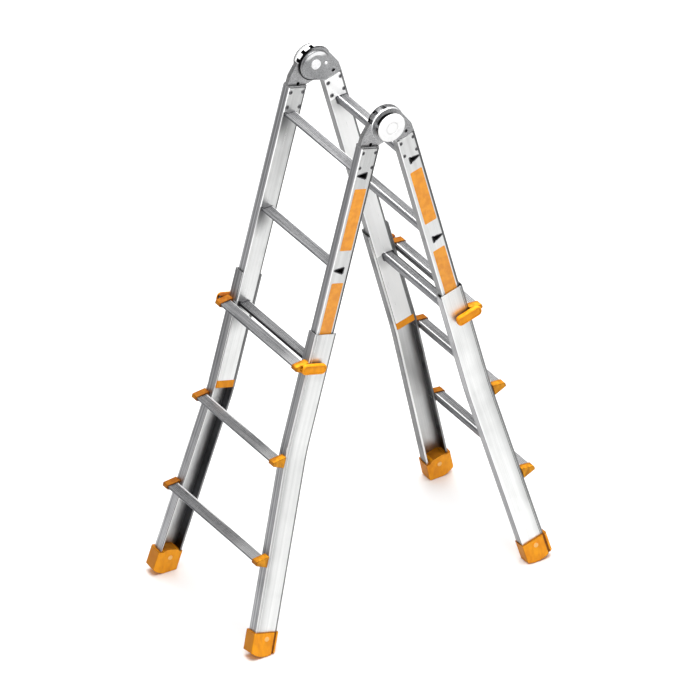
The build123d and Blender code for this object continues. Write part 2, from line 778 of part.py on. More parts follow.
# Hinge discs of the front half, with the tang that goes into the rail
def hinge_disc(half, side, name):
    full_thickness = side * (hinge_back_face - cheek_face)
    notch_angles = [180 - notch_first - notch_step * i for i in range(notch_count)]
    with BuildPart() as disc:
        extrude(plate_outline(half, side * disc_face, disc_radius), amount=side * disc_thickness)
        neck = block_outline(half, side * cheek_face, tang_width, neck_drop, shoulder_drop)
        extrude(neck, amount=full_thickness)
        stem = block_outline(half, side * disc_face, spigot_depth, neck_drop, tang_bottom)
        extrude(stem, amount=side * disc_thickness)
        spigot = block_outline(half, side * cheek_face, spigot_depth, spigot_top, tang_bottom)
        extrude(spigot, amount=full_thickness)
        with BuildSketch(side_plane(half, side * disc_face)):
            for angle in notch_angles:
                with Locations(Rot(0, 0, angle) * Pos(disc_radius, 0)):
                    SlotOverall(2 * notch_depth, notch_width)
        extrude(amount=side * disc_thickness, mode=Mode.SUBTRACT)
        bore = round_outline(half, side * disc_face, axle_radius + pin_fit)
        extrude(bore, amount=side * disc_thickness, mode=Mode.SUBTRACT)
        with BuildSketch(side_plane(half, side * disc_back_face)):
            Circle(bolt_circle + bolt_radius + bolt_gap)
            Circle(bolt_circle - bolt_radius - bolt_gap, mode=Mode.SUBTRACT)
        extrude(amount=side * (groove_floor - disc_back_face), mode=Mode.SUBTRACT)
        hole = round_outline(half, side * disc_face, neck_hole_radius, disc_hole)
        extrude(hole, amount=side * disc_thickness, mode=Mode.SUBTRACT)
        holes = rail_rivet_outline(half, side * cheek_face, rivet_radius + rivet_fit)
        extrude(holes, amount=full_thickness, mode=Mode.SUBTRACT)
    save(disc, name)


# Hinge cheeks of the rear half
def cheek_plate(half, side, face):
    """One cheek with its shoulders, spigot and holes."""
    thickness = side * cheek_thickness
    extrude(plate_outline(half, side * face, cheek_radius), amount=thickness)
    extrude(block_outline(half, side * face, tang_width, neck_drop, shoulder_drop), amount=thickness)
    extrude(block_outline(half, side * face, spigot_depth, neck_drop, tang_bottom), amount=thickness)
    hole = round_outline(half, side * face, neck_hole_radius, cheek_hole)
    extrude(hole, amount=thickness, mode=Mode.SUBTRACT)
    holes = rail_rivet_outline(half, side * face, rivet_radius + rivet_fit)
    extrude(holes, amount=thickness, mode=Mode.SUBTRACT)
    bore = round_outline(half, side * face, axle_radius + rivet_fit)
    extrude(bore, amount=thickness, mode=Mode.SUBTRACT)


def inner_cheek(half, side, name):
    with BuildPart() as cheek:
        extrude(round_outline(half, side * cheek_face, boss_radius), amount=-side * boss_height)
        fillet(cheek.faces().sort_by(side_axis(half, side))[0].edges(), boss_round)
        bore = round_outline(half, side * boss_face, axle_radius + rivet_fit)
        extrude(bore, amount=side * boss_height, mode=Mode.SUBTRACT)
        cheek_plate(half, side, cheek_face)
        hole = round_outline(half, side * boss_face, stop_pin_radius + rivet_fit, bolt_place)
        extrude(hole, amount=side * (cheek_back_face - boss_face), mode=Mode.SUBTRACT)
    save(cheek, name)


def outer_cheek(half, side, name):
    with BuildPart() as cheek:
        cheek_plate(half, side, outer_cheek_face)
        for place in bolt_places:
            hole = round_outline(half, side * outer_cheek_face, bolt_radius + bolt_gap, place)
            extrude(hole, amount=side * cheek_thickness, mode=Mode.SUBTRACT)
    save(cheek, name)


def cheek_spacers(half, name):
    with BuildPart() as spacers:
        for side in (-1, 1):
            face = side * cheek_back_face
            thickness = side * (outer_cheek_face - cheek_back_face)
            extrude(block_outline(half, face, spigot_depth, spigot_top, tang_bottom), amount=thickness)
            holes = rail_rivet_outline(half, face, rivet_radius + rivet_fit)
            extrude(holes, amount=thickness, mode=Mode.SUBTRACT)
    save(spacers, name)


# Hinge axles, with a head inside and a thin end that guides the knob
def hinge_axles(half, name):
    with BuildPart() as axles:
        for side in (-1, 1):
            extrude(round_outline(half, side * boss_face, axle_head_radius), amount=-side * axle_head_height)
            shaft = round_outline(half, side * boss_face, axle_radius)
            extrude(shaft, amount=side * (hinge_back_face - boss_face))
            guide = round_outline(half, side * hinge_back_face, guide_radius)
            extrude(guide, amount=side * (guide_end - hinge_back_face))
            rim = axles.faces().sort_by(side_axis(half, side))[0].edges()
            fillet(rim, head_round)
    save(axles, name)


# Hinge rivets, headed inside and flush outside so that the outer rails can pass
def hinge_rivets(half, name, with_stop_pins):
    with BuildPart() as rivets:
        for side in (-1, 1):
            extrude(rail_rivet_outline(half, side * inner_face, head_radius), amount=-side * head_height)
            shanks = rail_rivet_outline(half, side * inner_face, rivet_radius)
            extrude(shanks, amount=side * (recess_face - inner_face))
            if with_stop_pins:
                head = round_outline(half, side * boss_face, stop_pin_radius + head_round, bolt_place)
                extrude(head, amount=-side * head_round)
                shank = round_outline(half, side * boss_face, stop_pin_radius, bolt_place)
                extrude(shank, amount=side * (cheek_back_face - boss_face))
    save(rivets, name)


# Hinge knobs
def hinge_knob(half, side, name):
    with BuildPart() as knob:
        extrude(round_outline(half, side * knob_face, knob_radius), amount=side * knob_thickness)
        fillet(knob.faces().sort_by(side_axis(half, side))[-1].edges(), knob_round)
        extrude(round_outline(half, side * knob_face, knob_hub_radius), amount=-side * knob_hub_height)
        with BuildSketch(side_plane(half, side * knob_back_face)):
            Circle(knob_ring_radius + knob_ring_width / 2)
            Circle(knob_ring_radius - knob_ring_width / 2, mode=Mode.SUBTRACT)
        extrude(amount=-side * knob_ring_depth, mode=Mode.SUBTRACT)
        bore = round_outline(half, side * bore_start, guide_radius + pin_fit)
        extrude(bore, amount=side * (bore_end - bore_start), mode=Mode.SUBTRACT)
        for place in bolt_places:
            socket = round_outline(half, side * knob_face, bolt_radius + rivet_fit, place)
            extrude(socket, amount=side * bolt_socket, mode=Mode.SUBTRACT)
    save(knob, name)


def lock_bolts(half, side, name):
    with BuildPart() as bolts:
        for place in bolt_places:
            bolt = round_outline(half, side * bolt_tip, bolt_radius, place)
            extrude(bolt, amount=side * (knob_face + bolt_socket - bolt_tip))
    save(bolts, name)


def knob_spring(half, side, name):
    seat = knob_wire / 2 + coil_end_gap
    length = knob_space - 2 * seat
    base = side_plane(half, side * (hinge_back_face + seat))
    with BuildPart() as spring:
        coil = coil_path(base, knob_coil_radius, side * length / knob_coil_turns, knob_coil_turns)
        with BuildSketch(Plane(origin=coil @ 0, z_dir=coil % 0)):
            Circle(knob_wire / 2)
        sweep(path=coil)
    print(name, "least gap", round(least_gap(coil, knob_wire, knob_coil_turns), 2))
    save(spring, name)


# Both halves' ladders
for half_name, half, sides, rearward in (("front", front, front_sides, 1), ("rear", rear, rear_sides, -1)):
    for side_name, side in sides.items():
        inner_rail(half, side, f"{half_name}_inner_rail_{side_name}")
        outer_rail(half, side, f"{half_name}_outer_rail_{side_name}")
        lock_lever(half, side, f"{half_name}_lock_lever_{side_name}")
        lock_pin(half, side, f"{half_name}_lock_pin_{side_name}")
        foot(half, side, rearward, f"{half_name}_foot_{side_name}")
    for number, tread in enumerate(inner_treads, start=1):
        inner_rung(half, tread, f"{half_name}_inner_rung_{number}")
    for number, tread in enumerate(outer_treads, start=1):
        outer_rung(half, tread, f"{half_name}_outer_rung_{number}")
    inner_plugs(half, f"{half_name}_inner_plugs")
    rung_caps(half, f"{half_name}_rung_caps")
    lever_brackets(half, f"{half_name}_lever_brackets")
    lever_pivots(half, f"{half_name}_lever_pivots")
    lever_springs(half, f"{half_name}_lever_springs")
    outer_rivets(half, f"{half_name}_outer_rivets")

# Hinges: discs on the front half, cheeks and knobs on the rear half
for side_name, side in front_sides.items():
    hinge_disc(front, side, f"hinge_disc_{side_name}")
for side_name, side in rear_sides.items():
    inner_cheek(rear, side, f"hinge_inner_cheek_{side_name}")
    outer_cheek(rear, side, f"hinge_outer_cheek_{side_name}")
    hinge_knob(rear, side, f"hinge_knob_{side_name}")
    lock_bolts(rear, side, f"lock_bolts_{side_name}")
    knob_spring(rear, side, f"knob_spring_{side_name}")
cheek_spacers(rear, "hinge_spacers")
hinge_axles(rear, "hinge_axles")
hinge_rivets(front, "front_hinge_rivets", with_stop_pins=False)
hinge_rivets(rear, "rear_hinge_rivets", with_stop_pins=True)
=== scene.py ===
"""Looks, light and camera of the telescopic ladder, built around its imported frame."""

import json
from functools import partial
from math import asin, cos, pi, radians, sin, tan

import bmesh
import bpy
from mathutils import Matrix, Vector


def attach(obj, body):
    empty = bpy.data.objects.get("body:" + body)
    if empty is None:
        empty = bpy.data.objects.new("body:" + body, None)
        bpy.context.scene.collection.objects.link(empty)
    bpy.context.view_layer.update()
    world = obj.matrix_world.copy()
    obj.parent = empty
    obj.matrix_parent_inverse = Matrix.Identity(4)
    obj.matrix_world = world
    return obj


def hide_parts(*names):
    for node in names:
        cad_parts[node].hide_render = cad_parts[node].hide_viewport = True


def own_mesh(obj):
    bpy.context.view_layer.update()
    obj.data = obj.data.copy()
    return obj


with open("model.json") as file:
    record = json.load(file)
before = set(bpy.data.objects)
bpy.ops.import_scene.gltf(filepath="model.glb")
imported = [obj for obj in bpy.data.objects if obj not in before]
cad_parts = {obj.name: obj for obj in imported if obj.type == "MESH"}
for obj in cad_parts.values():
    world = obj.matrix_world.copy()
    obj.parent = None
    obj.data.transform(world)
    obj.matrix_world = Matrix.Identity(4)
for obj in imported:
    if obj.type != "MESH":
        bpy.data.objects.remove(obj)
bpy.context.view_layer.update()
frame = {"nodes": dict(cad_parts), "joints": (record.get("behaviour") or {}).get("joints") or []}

# Sizes shared with the solids, in metres
lean = radians(15.0)                # each half's lean from upright
flare = radians(6.2)                # the outer rails' bend away from the middle
rail_offset = 0.039                 # rail centre line, outward from the hinge axis
recess_face = 0.1923                # floor of the recess along an inner rail's outer face
web_face = 0.197                    # outer face of an outer rail
inner_face = 0.1625                 # inner face of an inner rail
inner_depth = 0.057
outer_depth = 0.0686
outer_wall = 0.003
web_reach = 0.007                   # what lies this near an outer rail's outer face belongs to its web
flange_reach = 0.006                # and this near its rear edge, to its rear flange
outer_top = 0.6132                  # top of an outer rail, down from the hinge axis
bend_start = 0.9312                 # and the start of its bend
bend_radius = 0.65
bend_middle = bend_start + bend_radius * sin(flare) / 2
foot_rim = 1.4722                   # upper rim of a boot, down from the hinge axis
inner_treads = (0.1382, 0.4182, 0.6982)    # down from the hinge axis on the rails' centre line
rung_rears = {"inner": 0.029, "outer": 0.07605}    # rear edge of a tread, outward from the hinge axis
rung_depth = 0.031
rung_back = 0.024                   # height of a rung's rear wall
rung_nose = 0.005                   # height of its front wall
rung_corner = 0.0022
disc_radius = 0.051
cheek_radius = 0.0485
cheek_gap = (0.1699, 0.1849)        # space between the cheeks, across from the middle
disc_hole = (0.036, 0.059)          # hole in the disc's neck, outward and down from the hinge axis
cheek_hole = (0.045, 0.052)
neck_hole_radius = 0.005
boss_face = 0.1612                  # inner face of the cheek's boss
notch_start = 0.040                 # just below the disc's lock notches, from the hinge axis
shoulder_start = 0.058              # the disc's shoulders lie farther than this from the hinge axis
knob_ring = 0.017                   # faint ring on a knob's face, from the hinge axis
skirt_shadow_end = 0.206                  # outer end of the painted shadow on a knob's skirt, across from the middle
seat_shadow = 0.0345                  # painted shadow in the middle of the outer cheek, under the knob, from the hinge axis
boss_highlight = (0.029, 0.0365)     # painted highlight, a crescent on the cheek's boss, from the hinge axis
hole_shade_reach = 0.016                # reach of the painted shade behind a cheek's neck hole, from the hole's middle
stop_pin = (0.0290, 0.0135)         # outward and down from the hinge axis
cap_start = 0.176                   # inner end of a straight rung's cap
lever_back = 0.199                  # back of a lock lever, across from the ladder's middle
lever_middle = 0.207
lever_front = 0.214                 # just behind its face
boot_groove = 0.00275               # half the width of the groove down a boot's outer face
boot_groove_place = {"front": 0.026, "rear": 0.030}    # rearward from the rail centre line
boot_side = 0.249                   # between a boot's middle and its grooved face, across from the middle
boot_top = 0.12                     # height above the floor; the outer rivets below it hold the boots

# Sizes of the pieces that are made here
label_width = 0.037
label_corner = 0.003
label_film = 0.0003
label_rise = 0.00002                # glue line under the film
label_reaches = ((0.1862, 0.3682), (0.4642, 0.6482))    # ends of each strip, down from the hinge axis
lip_radius = 0.0009
rib_radius = 0.0009
rib_out = 0.0645                    # rib along an outer rail's web, outward from the hinge axis
rib_margin = 0.004                  # end of the rib above the boot's rim and below the rail's top
bend_steps = 12
rivet_head = 0.0062
rivet_head_height = 0.0022
rivet_tail_height = 0.0009
rivet_bore = 0.0026
rivet_bore_depth = 0.003
rivet_drops = (0.0802, 0.1237)
rivet_outs = (0.019, 0.059)
rivet_shank = 0.0038

# Placing in the two halves: across the ladder, outward from the hinge axis, and down along the rails.
# The rear half is turned round, so its across and outward directions have the other sign.
joints = {joint["name"]: joint for joint in frame["joints"]}
hinge_height = joints["fold"]["pos_m"][2]
hinge_place = Matrix.Translation((0, 0, hinge_height))
halves = {
    "front": hinge_place @ Matrix.Rotation(-lean, 4, "X"),
    "rear": hinge_place @ Matrix.Rotation(pi, 4, "Z") @ Matrix.Rotation(-lean, 4, "X"),
}
half_signs = {"front": 1, "rear": -1}
sides = {"left": -1, "right": 1}


def spot(half, across, out, drop):
    """Point of a half in the shared frame."""
    return halves[half] @ Vector((across, -out, -drop))


def across_way(half, side):
    """Direction away from the ladder's middle."""
    return spot(half, side, 0, 0) - spot(half, 0, 0, 0)


def tread_drop(tread, out):
    """Drop of a level tread at this distance outward."""
    return tread + (out - rail_offset) * tan(lean)


def web_shift(drop):
    """How far the bent outer rail has moved away from the ladder's middle."""
    bend_end = bend_start + bend_radius * sin(flare)
    if drop <= bend_start:
        return 0.0
    if drop <= bend_end:
        return bend_radius * (1 - cos(asin((drop - bend_start) / bend_radius)))
    return bend_radius * (1 - cos(flare)) + (drop - bend_end) * tan(flare)


# Node trees
class Value:
    """A socket whose arithmetic adds Math nodes to its tree."""

    def __init__(self, tree, socket):
        self.tree = tree
        self.socket = socket

    def math(self, operation, first, second):
        return self.tree.node("ShaderNodeMath", {"operation": operation}, {0: first, 1: second})

    def __add__(self, other):
        return self.math("ADD", self, other)

    def __radd__(self, other):
        return self.math("ADD", other, self)

    def __sub__(self, other):
        return self.math("SUBTRACT", self, other)

    def __rsub__(self, other):
        return self.math("SUBTRACT", other, self)

    def __mul__(self, other):
        return self.math("MULTIPLY", self, other)

    def __rmul__(self, other):
        return self.math("MULTIPLY", other, self)

    def __pow__(self, other):
        return self.math("POWER", self, other)

    def __abs__(self):
        return self.math("ABSOLUTE", self, 0)

    def at_least(self, other):
        return self.math("MAXIMUM", self, other)


class Tree:
    """A node tree with one method that adds any node."""

    def __init__(self, node_tree):
        self.node_tree = node_tree

    def node(self, kind, settings=None, sockets=None, output=0):
        """Add a node, give it its settings, then its sockets' values or links, and return one output."""
        made = self.node_tree.nodes.new(kind)
        for name, setting in (settings or {}).items():
            setattr(made, name, setting)
        for key, value in (sockets or {}).items():
            if isinstance(value, Value):
                self.node_tree.links.new(value.socket, made.inputs[key])
            else:
                made.inputs[key].default_value = value
        return Value(self, made.outputs[output]) if made.outputs else None


class Finish(Tree):
    """A material's nodes."""

    def __init__(self, name):
        self.material = bpy.data.materials.new(name)
        self.material.use_nodes = True
        super().__init__(self.material.node_tree)
        self.node_tree.nodes.clear()
        self.place = self.node("ShaderNodeTexCoord", output="Object")

    def turned(self, place, turn=(0, 0, 0), stretch=(1, 1, 1), move=(0, 0, 0)):
        sockets = {"Vector": place, "Rotation": turn, "Scale": stretch, "Location": move}
        return self.node("ShaderNodeMapping", {"vector_type": "POINT"}, sockets)

    def parts(self, place):
        """The three numbers of a place."""
        split = self.node("ShaderNodeSeparateXYZ", None, {0: place})
        outputs = split.socket.node.outputs
        return [Value(self, outputs[axis]) for axis in range(3)]

    def facing(self, turn=(0, 0, 0)):
        """The three numbers of the surface's direction on the piece, after a turn."""
        normal = self.node("ShaderNodeTexCoord", output="Normal")
        sockets = {"Vector": normal, "Rotation": turn}
        return self.parts(self.node("ShaderNodeMapping", {"vector_type": "VECTOR"}, sockets))

    def joined(self, x, y, z):
        return self.node("ShaderNodeCombineXYZ", None, {0: x, 1: y, 2: z})

    def noise(self, place, scale, detail=2.0, roughness=0.5):
        sockets = {"Vector": place, "Scale": scale, "Detail": detail, "Roughness": roughness}
        return self.node("ShaderNodeTexNoise", None, sockets)

    def cells(self, place, scale):
        return self.node("ShaderNodeTexVoronoi", None, {"Vector": place, "Scale": scale}, "Distance")

    def ramp(self, value, start, end):
        """Smooth step of a value, from zero at the start to one at the end."""
        sockets = {"Value": value, "From Min": start, "From Max": end}
        return self.node("ShaderNodeMapRange", {"interpolation_type": "SMOOTHSTEP"}, sockets)

    def mix(self, factor, first, second):
        """Colour between two colours."""
        return self.node("ShaderNodeMix", {"data_type": "RGBA"}, {0: factor, 6: first, 7: second}, 2)

    def edges(self, radius):
        """Rounded normal at the piece's edges, and a mask of those edges."""
        rounded = self.node("ShaderNodeBevel", {"samples": 6}, {"Radius": radius})
        flat = self.node("ShaderNodeNewGeometry", output="True Normal")
        sockets = {0: rounded, 1: flat}
        likeness = self.node("ShaderNodeVectorMath", {"operation": "DOT_PRODUCT"}, sockets, "Value")
        return rounded, self.ramp(likeness, 0.995, 0.80)

    def bump(self, height, distance, strength, normal=None):
        sockets = {"Height": height, "Distance": distance, "Strength": strength}
        if normal:
            sockets["Normal"] = normal
        return self.node("ShaderNodeBump", None, sockets)

    def surface(self, **sockets):
        """Principled shader; spaces in socket names are written as underscores."""
        named = {name.replace("_", " "): value for name, value in sockets.items()}
        shader = self.node("ShaderNodeBsdfPrincipled", None, named)
        self.node("ShaderNodeOutputMaterial", None, {"Surface": shader})
        return self.material


def from_centre(first, second):
    """Distance of a point from the centre, from its two coordinates."""
    return (first ** 2.0 + second ** 2.0) ** 0.5


def paint(red, green, blue, share=1.0):
    """Colour with an alpha of one, scaled by a share."""
    return (red * share, green * share, blue * share, 1.0)


# Places on the rails, for the finishes
def upright_place(finish, half):
    """Object coordinates with z up the half's rails and zero on the hinge axis."""
    turn = half_signs[half] * lean
    centre = Matrix.Rotation(turn, 3, "X") @ Vector((0, 0, hinge_height))
    return finish.turned(finish.place, (turn, 0, 0), move=-centre)


def bend_shift(rise):
    """How far a bent rail has moved away from the ladder's middle at this height."""
    return (-bend_middle - rise).at_least(0) * tan(flare)


def straight_place(finish, half, side):
    """Upright coordinates of a bent rail, sheared straight."""
    across, along, rise = finish.parts(upright_place(finish, half))
    return finish.joined(across - bend_shift(rise) * side, along, rise)


def rail_numbers(finish, place, half):
    """Where a point of a rail lies and which way its surface faces."""
    across, along, rise = finish.parts(place)
    facing_across, facing_behind, _ = finish.facing((half_signs[half] * lean, 0, 0))
    return {
        "across": across,
        "behind": along + half_signs[half] * rail_offset,
        "rise": rise,
        "facing_across": facing_across,
        "facing_behind": facing_behind,
    }


# Aluminium rails: drawing lines along the rail, broad bands, smudges and sliding marks, with painted light
# and shade
inner_lines = {"front": 0.0064, "rear": 0.0074}     # width of the painted shade line along a rail's rear edge
outer_line = 0.0072
rung_shadows = {"front": 0.105, "rear": 0.06}       # reach of the painted shade below an inner rung
rung_shades = {"front": 0.8, "rear": 0.4}           # its strength
lit_sides = {"front": 0.0, "rear": 0.75}           # paleness from painted light on the inner rails' facing sides
channel_shades = {"front": 0.12, "rear": 0.42}      # least painted shade inside an outer rail


def rear_edge_shade(finish, at, depth, width):
    """Mask of painted shade: a dark line along a rail's rear edge."""
    start = depth / 2 - width
    return finish.ramp(at["behind"], start, start + 0.001) * finish.ramp(at["facing_behind"], 0.99, 0.94)


def inner_rail_masks(finish, at, half):
    """Masks of an inner rail's painted shade, below its rungs and along its rear edge, and of the painted
    light on its facing side.
    """
    inner_side = finish.ramp(at["across"] * at["facing_across"], -0.10, -0.14)
    below = finish.node("ShaderNodeMath", {"operation": "FLOORED_MODULO"}, {
        0: -1 * at["rise"] - inner_treads[0],
        1: inner_treads[1] - inner_treads[0],
    })
    # Painted shadow of each inner rung on the rail's facing side below it, stronger towards the outward
    # side
    under_rung = inner_side * finish.ramp(below, rung_shadows[half], 0.015)
    under_rung = under_rung * finish.ramp(at["behind"], 0.026, -0.02)
    # Painted shade: a dark line along the rear edge
    line = rear_edge_shade(finish, at, inner_depth, inner_lines[half])
    return (0.85 * line).at_least(rung_shades[half] * under_rung), lit_sides[half] * inner_side


def outer_rail_shade(finish, at, half, side):
    """Mask of the painted shade inside a channel, along its edges and on the outward part of its web."""
    outward = at["behind"] * -half_signs[half]
    looks_out = finish.ramp(at["facing_across"] * side, 0.6, 0.9)
    looks_in = finish.ramp(at["facing_across"] * -side, 0.6, 0.9)
    web_start = web_face - web_reach
    inside_web = finish.ramp(at["across"] * side, web_start - 0.001, web_start + 0.001) * looks_in
    inside_shade = (0.75 * finish.ramp(at["behind"], 0.010, 0.033)).at_least(channel_shades[half])
    flange_start = outer_depth / 2 - flange_reach
    at_flange = finish.ramp(at["behind"], flange_start - 0.0005, flange_start + 0.0005)
    inside_flange = at_flange * finish.ramp(at["facing_behind"], -0.6, -0.9)
    outward_part = finish.ramp(outward, 0.004, 0.030) * looks_out
    edge_start = outer_depth / 2 - outer_wall
    free_edge = finish.ramp(outward, edge_start - 0.0004, edge_start + 0.0004) * looks_in
    # Painted shade along the rear edge, inside the channel, on its free edges and on the outward part of
    # the web
    shade = 0.75 * rear_edge_shade(finish, at, outer_depth, outer_line)
    shade = shade.at_least(inside_web * inside_shade).at_least(0.9 * inside_flange)
    return shade.at_least(0.3 * outward_part).at_least(0.75 * free_edge)


def rail_aluminium(name, half, rail, web_light, flange_light):
    """Finish of an inner rail, or of the outer rail on the left or right; web_light and flange_light scale
    its colour as painted light and shade.
    """
    finish = Finish(name)
    if rail == "inner":
        place = upright_place(finish, half)
        at = rail_numbers(finish, place, half)
        shade, lit_side = inner_rail_masks(finish, at, half)
        smoothest = 0.27
    else:
        place = straight_place(finish, half, sides[rail])
        at = rail_numbers(finish, place, half)
        shade, lit_side = outer_rail_shade(finish, at, half, sides[rail]), 0.0
        smoothest = 0.33
    flange = finish.ramp(at["facing_behind"], -0.75, -0.92)
    # Painted highlight along a rail's front corner, paler and less metallic
    corner_highlight = finish.ramp(at["facing_behind"], -0.12, -0.35) * finish.ramp(at["facing_behind"], -0.95, -0.8)
    lines = finish.noise(finish.turned(place, stretch=(1.0, 1.0, 0.006)), 900.0, 3.0, 0.6)
    bands = finish.noise(finish.turned(place, stretch=(1.0, 1.0, 0.02)), 90.0, 2.0)
    grooves = finish.noise(finish.turned(place, stretch=(1.0, 1.0, 0.004)), 190.0, 2.0)
    smudges = finish.noise(finish.place, 16.0, 5.0, 0.6)
    specks = finish.noise(finish.place, 420.0, 2.0)
    scratches = finish.noise(finish.turned(place, stretch=(1.0, 1.0, 0.03)), 420.0, 2.0)
    scratched = finish.ramp(scratches, 0.66, 0.74)
    rounded, wear_and_highlight = finish.edges(0.0012)
    tone = finish.ramp(0.35 * lines + 0.4 * bands + 0.25 * smudges, 0.3, 0.7)
    # Painted light: the colour is scaled by web_light
    colour = finish.mix(tone, paint(0.58, 0.585, 0.58, web_light), paint(0.76, 0.765, 0.76, web_light))
    # Painted shade: front flanges take a darker copy of the colour, scaled by flange_light
    groove = finish.ramp(grooves, 0.35, 0.65)
    shaded_flange = finish.mix(groove, paint(0.45, 0.45, 0.4725, flange_light), paint(1.0, 1.0, 1.03, flange_light))
    colour = finish.mix(0.92 * flange, colour, shaded_flange)
    # Paler edges: wear, and a painted highlight
    colour = finish.mix(0.5 * wear_and_highlight, colour, paint(0.93, 0.93, 0.935))
    colour = finish.mix(0.25 * finish.ramp(specks, 0.68, 0.76), colour, paint(0.42, 0.42, 0.43))
    # Painted light: an inner rail's facing side is paler and less metallic
    colour = finish.mix(lit_side, colour, paint(0.93, 0.93, 0.925))
    colour = finish.mix(corner_highlight, colour, paint(0.96, 0.96, 0.96))
    # Painted shade: rear edge lines, shadows below the rungs and the insides of the channels darken towards
    # black
    colour = finish.mix(shade, colour, paint(0.02, 0.021, 0.025))
    smudged = finish.ramp(smudges, 0.45, 0.7)
    return finish.surface(
        Base_Color=colour,
        Metallic=1 - (0.9 * corner_highlight).at_least(lit_side),
        Roughness=smoothest + 0.10 * lines + 0.16 * smudged - 0.08 * scratched,
        Normal=finish.bump(lines + 0.6 * scratched, 0.00006, 0.35, rounded),
    )


# Aluminium rungs: grey scuffed treads with a painted highlight line, and painted shade on backs, noses and
# open ends
tread_highlights = {"front": 0.0008, "rear": 0.0085}     # painted highlight line along a tread, from its rear edge


def rung_aluminium(name, half, ladder, light, shaded_way):
    """Finish of a rung; shaded_way is the sign of y on its side with painted shade, or zero if it has none.
    """
    finish = Finish(name)
    lines = finish.noise(finish.turned(finish.place, stretch=(0.006, 1.0, 1.0)), 700.0, 3.0, 0.6)
    bands = finish.noise(finish.turned(finish.place, stretch=(0.02, 1.0, 1.0)), 320.0, 2.0)
    scuffs = finish.noise(finish.turned(finish.place, stretch=(1.0, 0.5, 0.5)), 190.0, 4.0, 0.65)
    across, along, _ = finish.parts(upright_place(finish, half))
    outward = along * -half_signs[half] - rung_rears[ladder]
    facing_across, facing_behind, facing_up = finish.facing()
    on_top = finish.ramp(facing_up, 0.1, 0.4)
    highlight_place = tread_highlights[half]
    tread = finish.ramp(facing_up, 0.5, 0.9) * finish.ramp(outward, highlight_place - 0.001, highlight_place)
    # Painted highlight: a bright line along the tread, paler and less metallic
    line = finish.ramp(abs(outward - highlight_place), 0.0026, 0.0014) * on_top
    if half == "front" and ladder == "outer" and not shaded_way:
        wide_highlight = finish.ramp(outward, 0.0065, 0.0045) * finish.ramp(across, 0.06, -0.04) * on_top
        line = line.at_least(0.85 * wide_highlight)
    rounded, wear_and_highlight = finish.edges(0.0008)
    tone = finish.ramp(0.35 * lines + 0.4 * bands + 0.25 * scuffs, 0.36, 0.62)
    # Painted shade: all but the top of the tread, and the tread's strip behind the highlight line, take
    # this dark colour
    side_shade = finish.mix(tone, paint(0.07, 0.071, 0.078), paint(0.21, 0.212, 0.222))
    grey = finish.mix(tone, paint(0.38, 0.385, 0.40, light), paint(1.0, 1.0, 1.02, light))
    if ladder == "inner":
        # Painted shade towards the inner rung's ends, next to the rails
        ends = finish.ramp(abs(across), 0.06, 0.17)
        grey = finish.mix(0.4 * ends, grey, paint(0.25, 0.25, 0.26, light))
    else:
        # Painted light towards the outer rung's right end
        right_end_light = finish.ramp(across, 0.09, 0.15)
        grey = finish.mix(0.5 * right_end_light, grey, paint(1.7, 1.7, 1.72, light))
    colour = finish.mix(tread, side_shade, grey)
    if shaded_way:
        # Painted shade where paired rungs face each other, and along the front edge of the paired inner
        # tread
        shaded = finish.ramp(facing_behind * shaded_way, 0.3, 0.6) * (1 - on_top)
        if ladder == "inner":
            shaded = shaded.at_least(finish.ramp(outward, rung_depth - 0.0045, rung_depth - 0.003))
        colour = finish.mix(0.97 * shaded, colour, paint(0.006, 0.006, 0.007))
    # Paler tread edges: wear, and a painted highlight
    colour = finish.mix(0.25 * wear_and_highlight * tread, colour, paint(0.85, 0.85, 0.855))
    # Painted highlight line
    colour = finish.mix(line, colour, paint(0.95, 0.95, 0.95))
    if ladder == "inner":
        # Painted shade inside the open ends of the inner rungs
        inside = finish.ramp(abs(across), inner_face + 0.004, inner_face + 0.006)
        inside = inside * finish.ramp(abs(facing_across), 0.6, 0.4)
        colour = finish.mix(0.97 * inside, colour, paint(0.006, 0.006, 0.006))
    return finish.surface(
        Base_Color=colour,
        Metallic=1 - 0.5 * on_top - 0.45 * line,
        Roughness=0.30 + 0.12 * lines + 0.1 * scuffs,
        Normal=finish.bump(lines + 0.5 * scuffs, 0.00008, 0.35, rounded),
    )


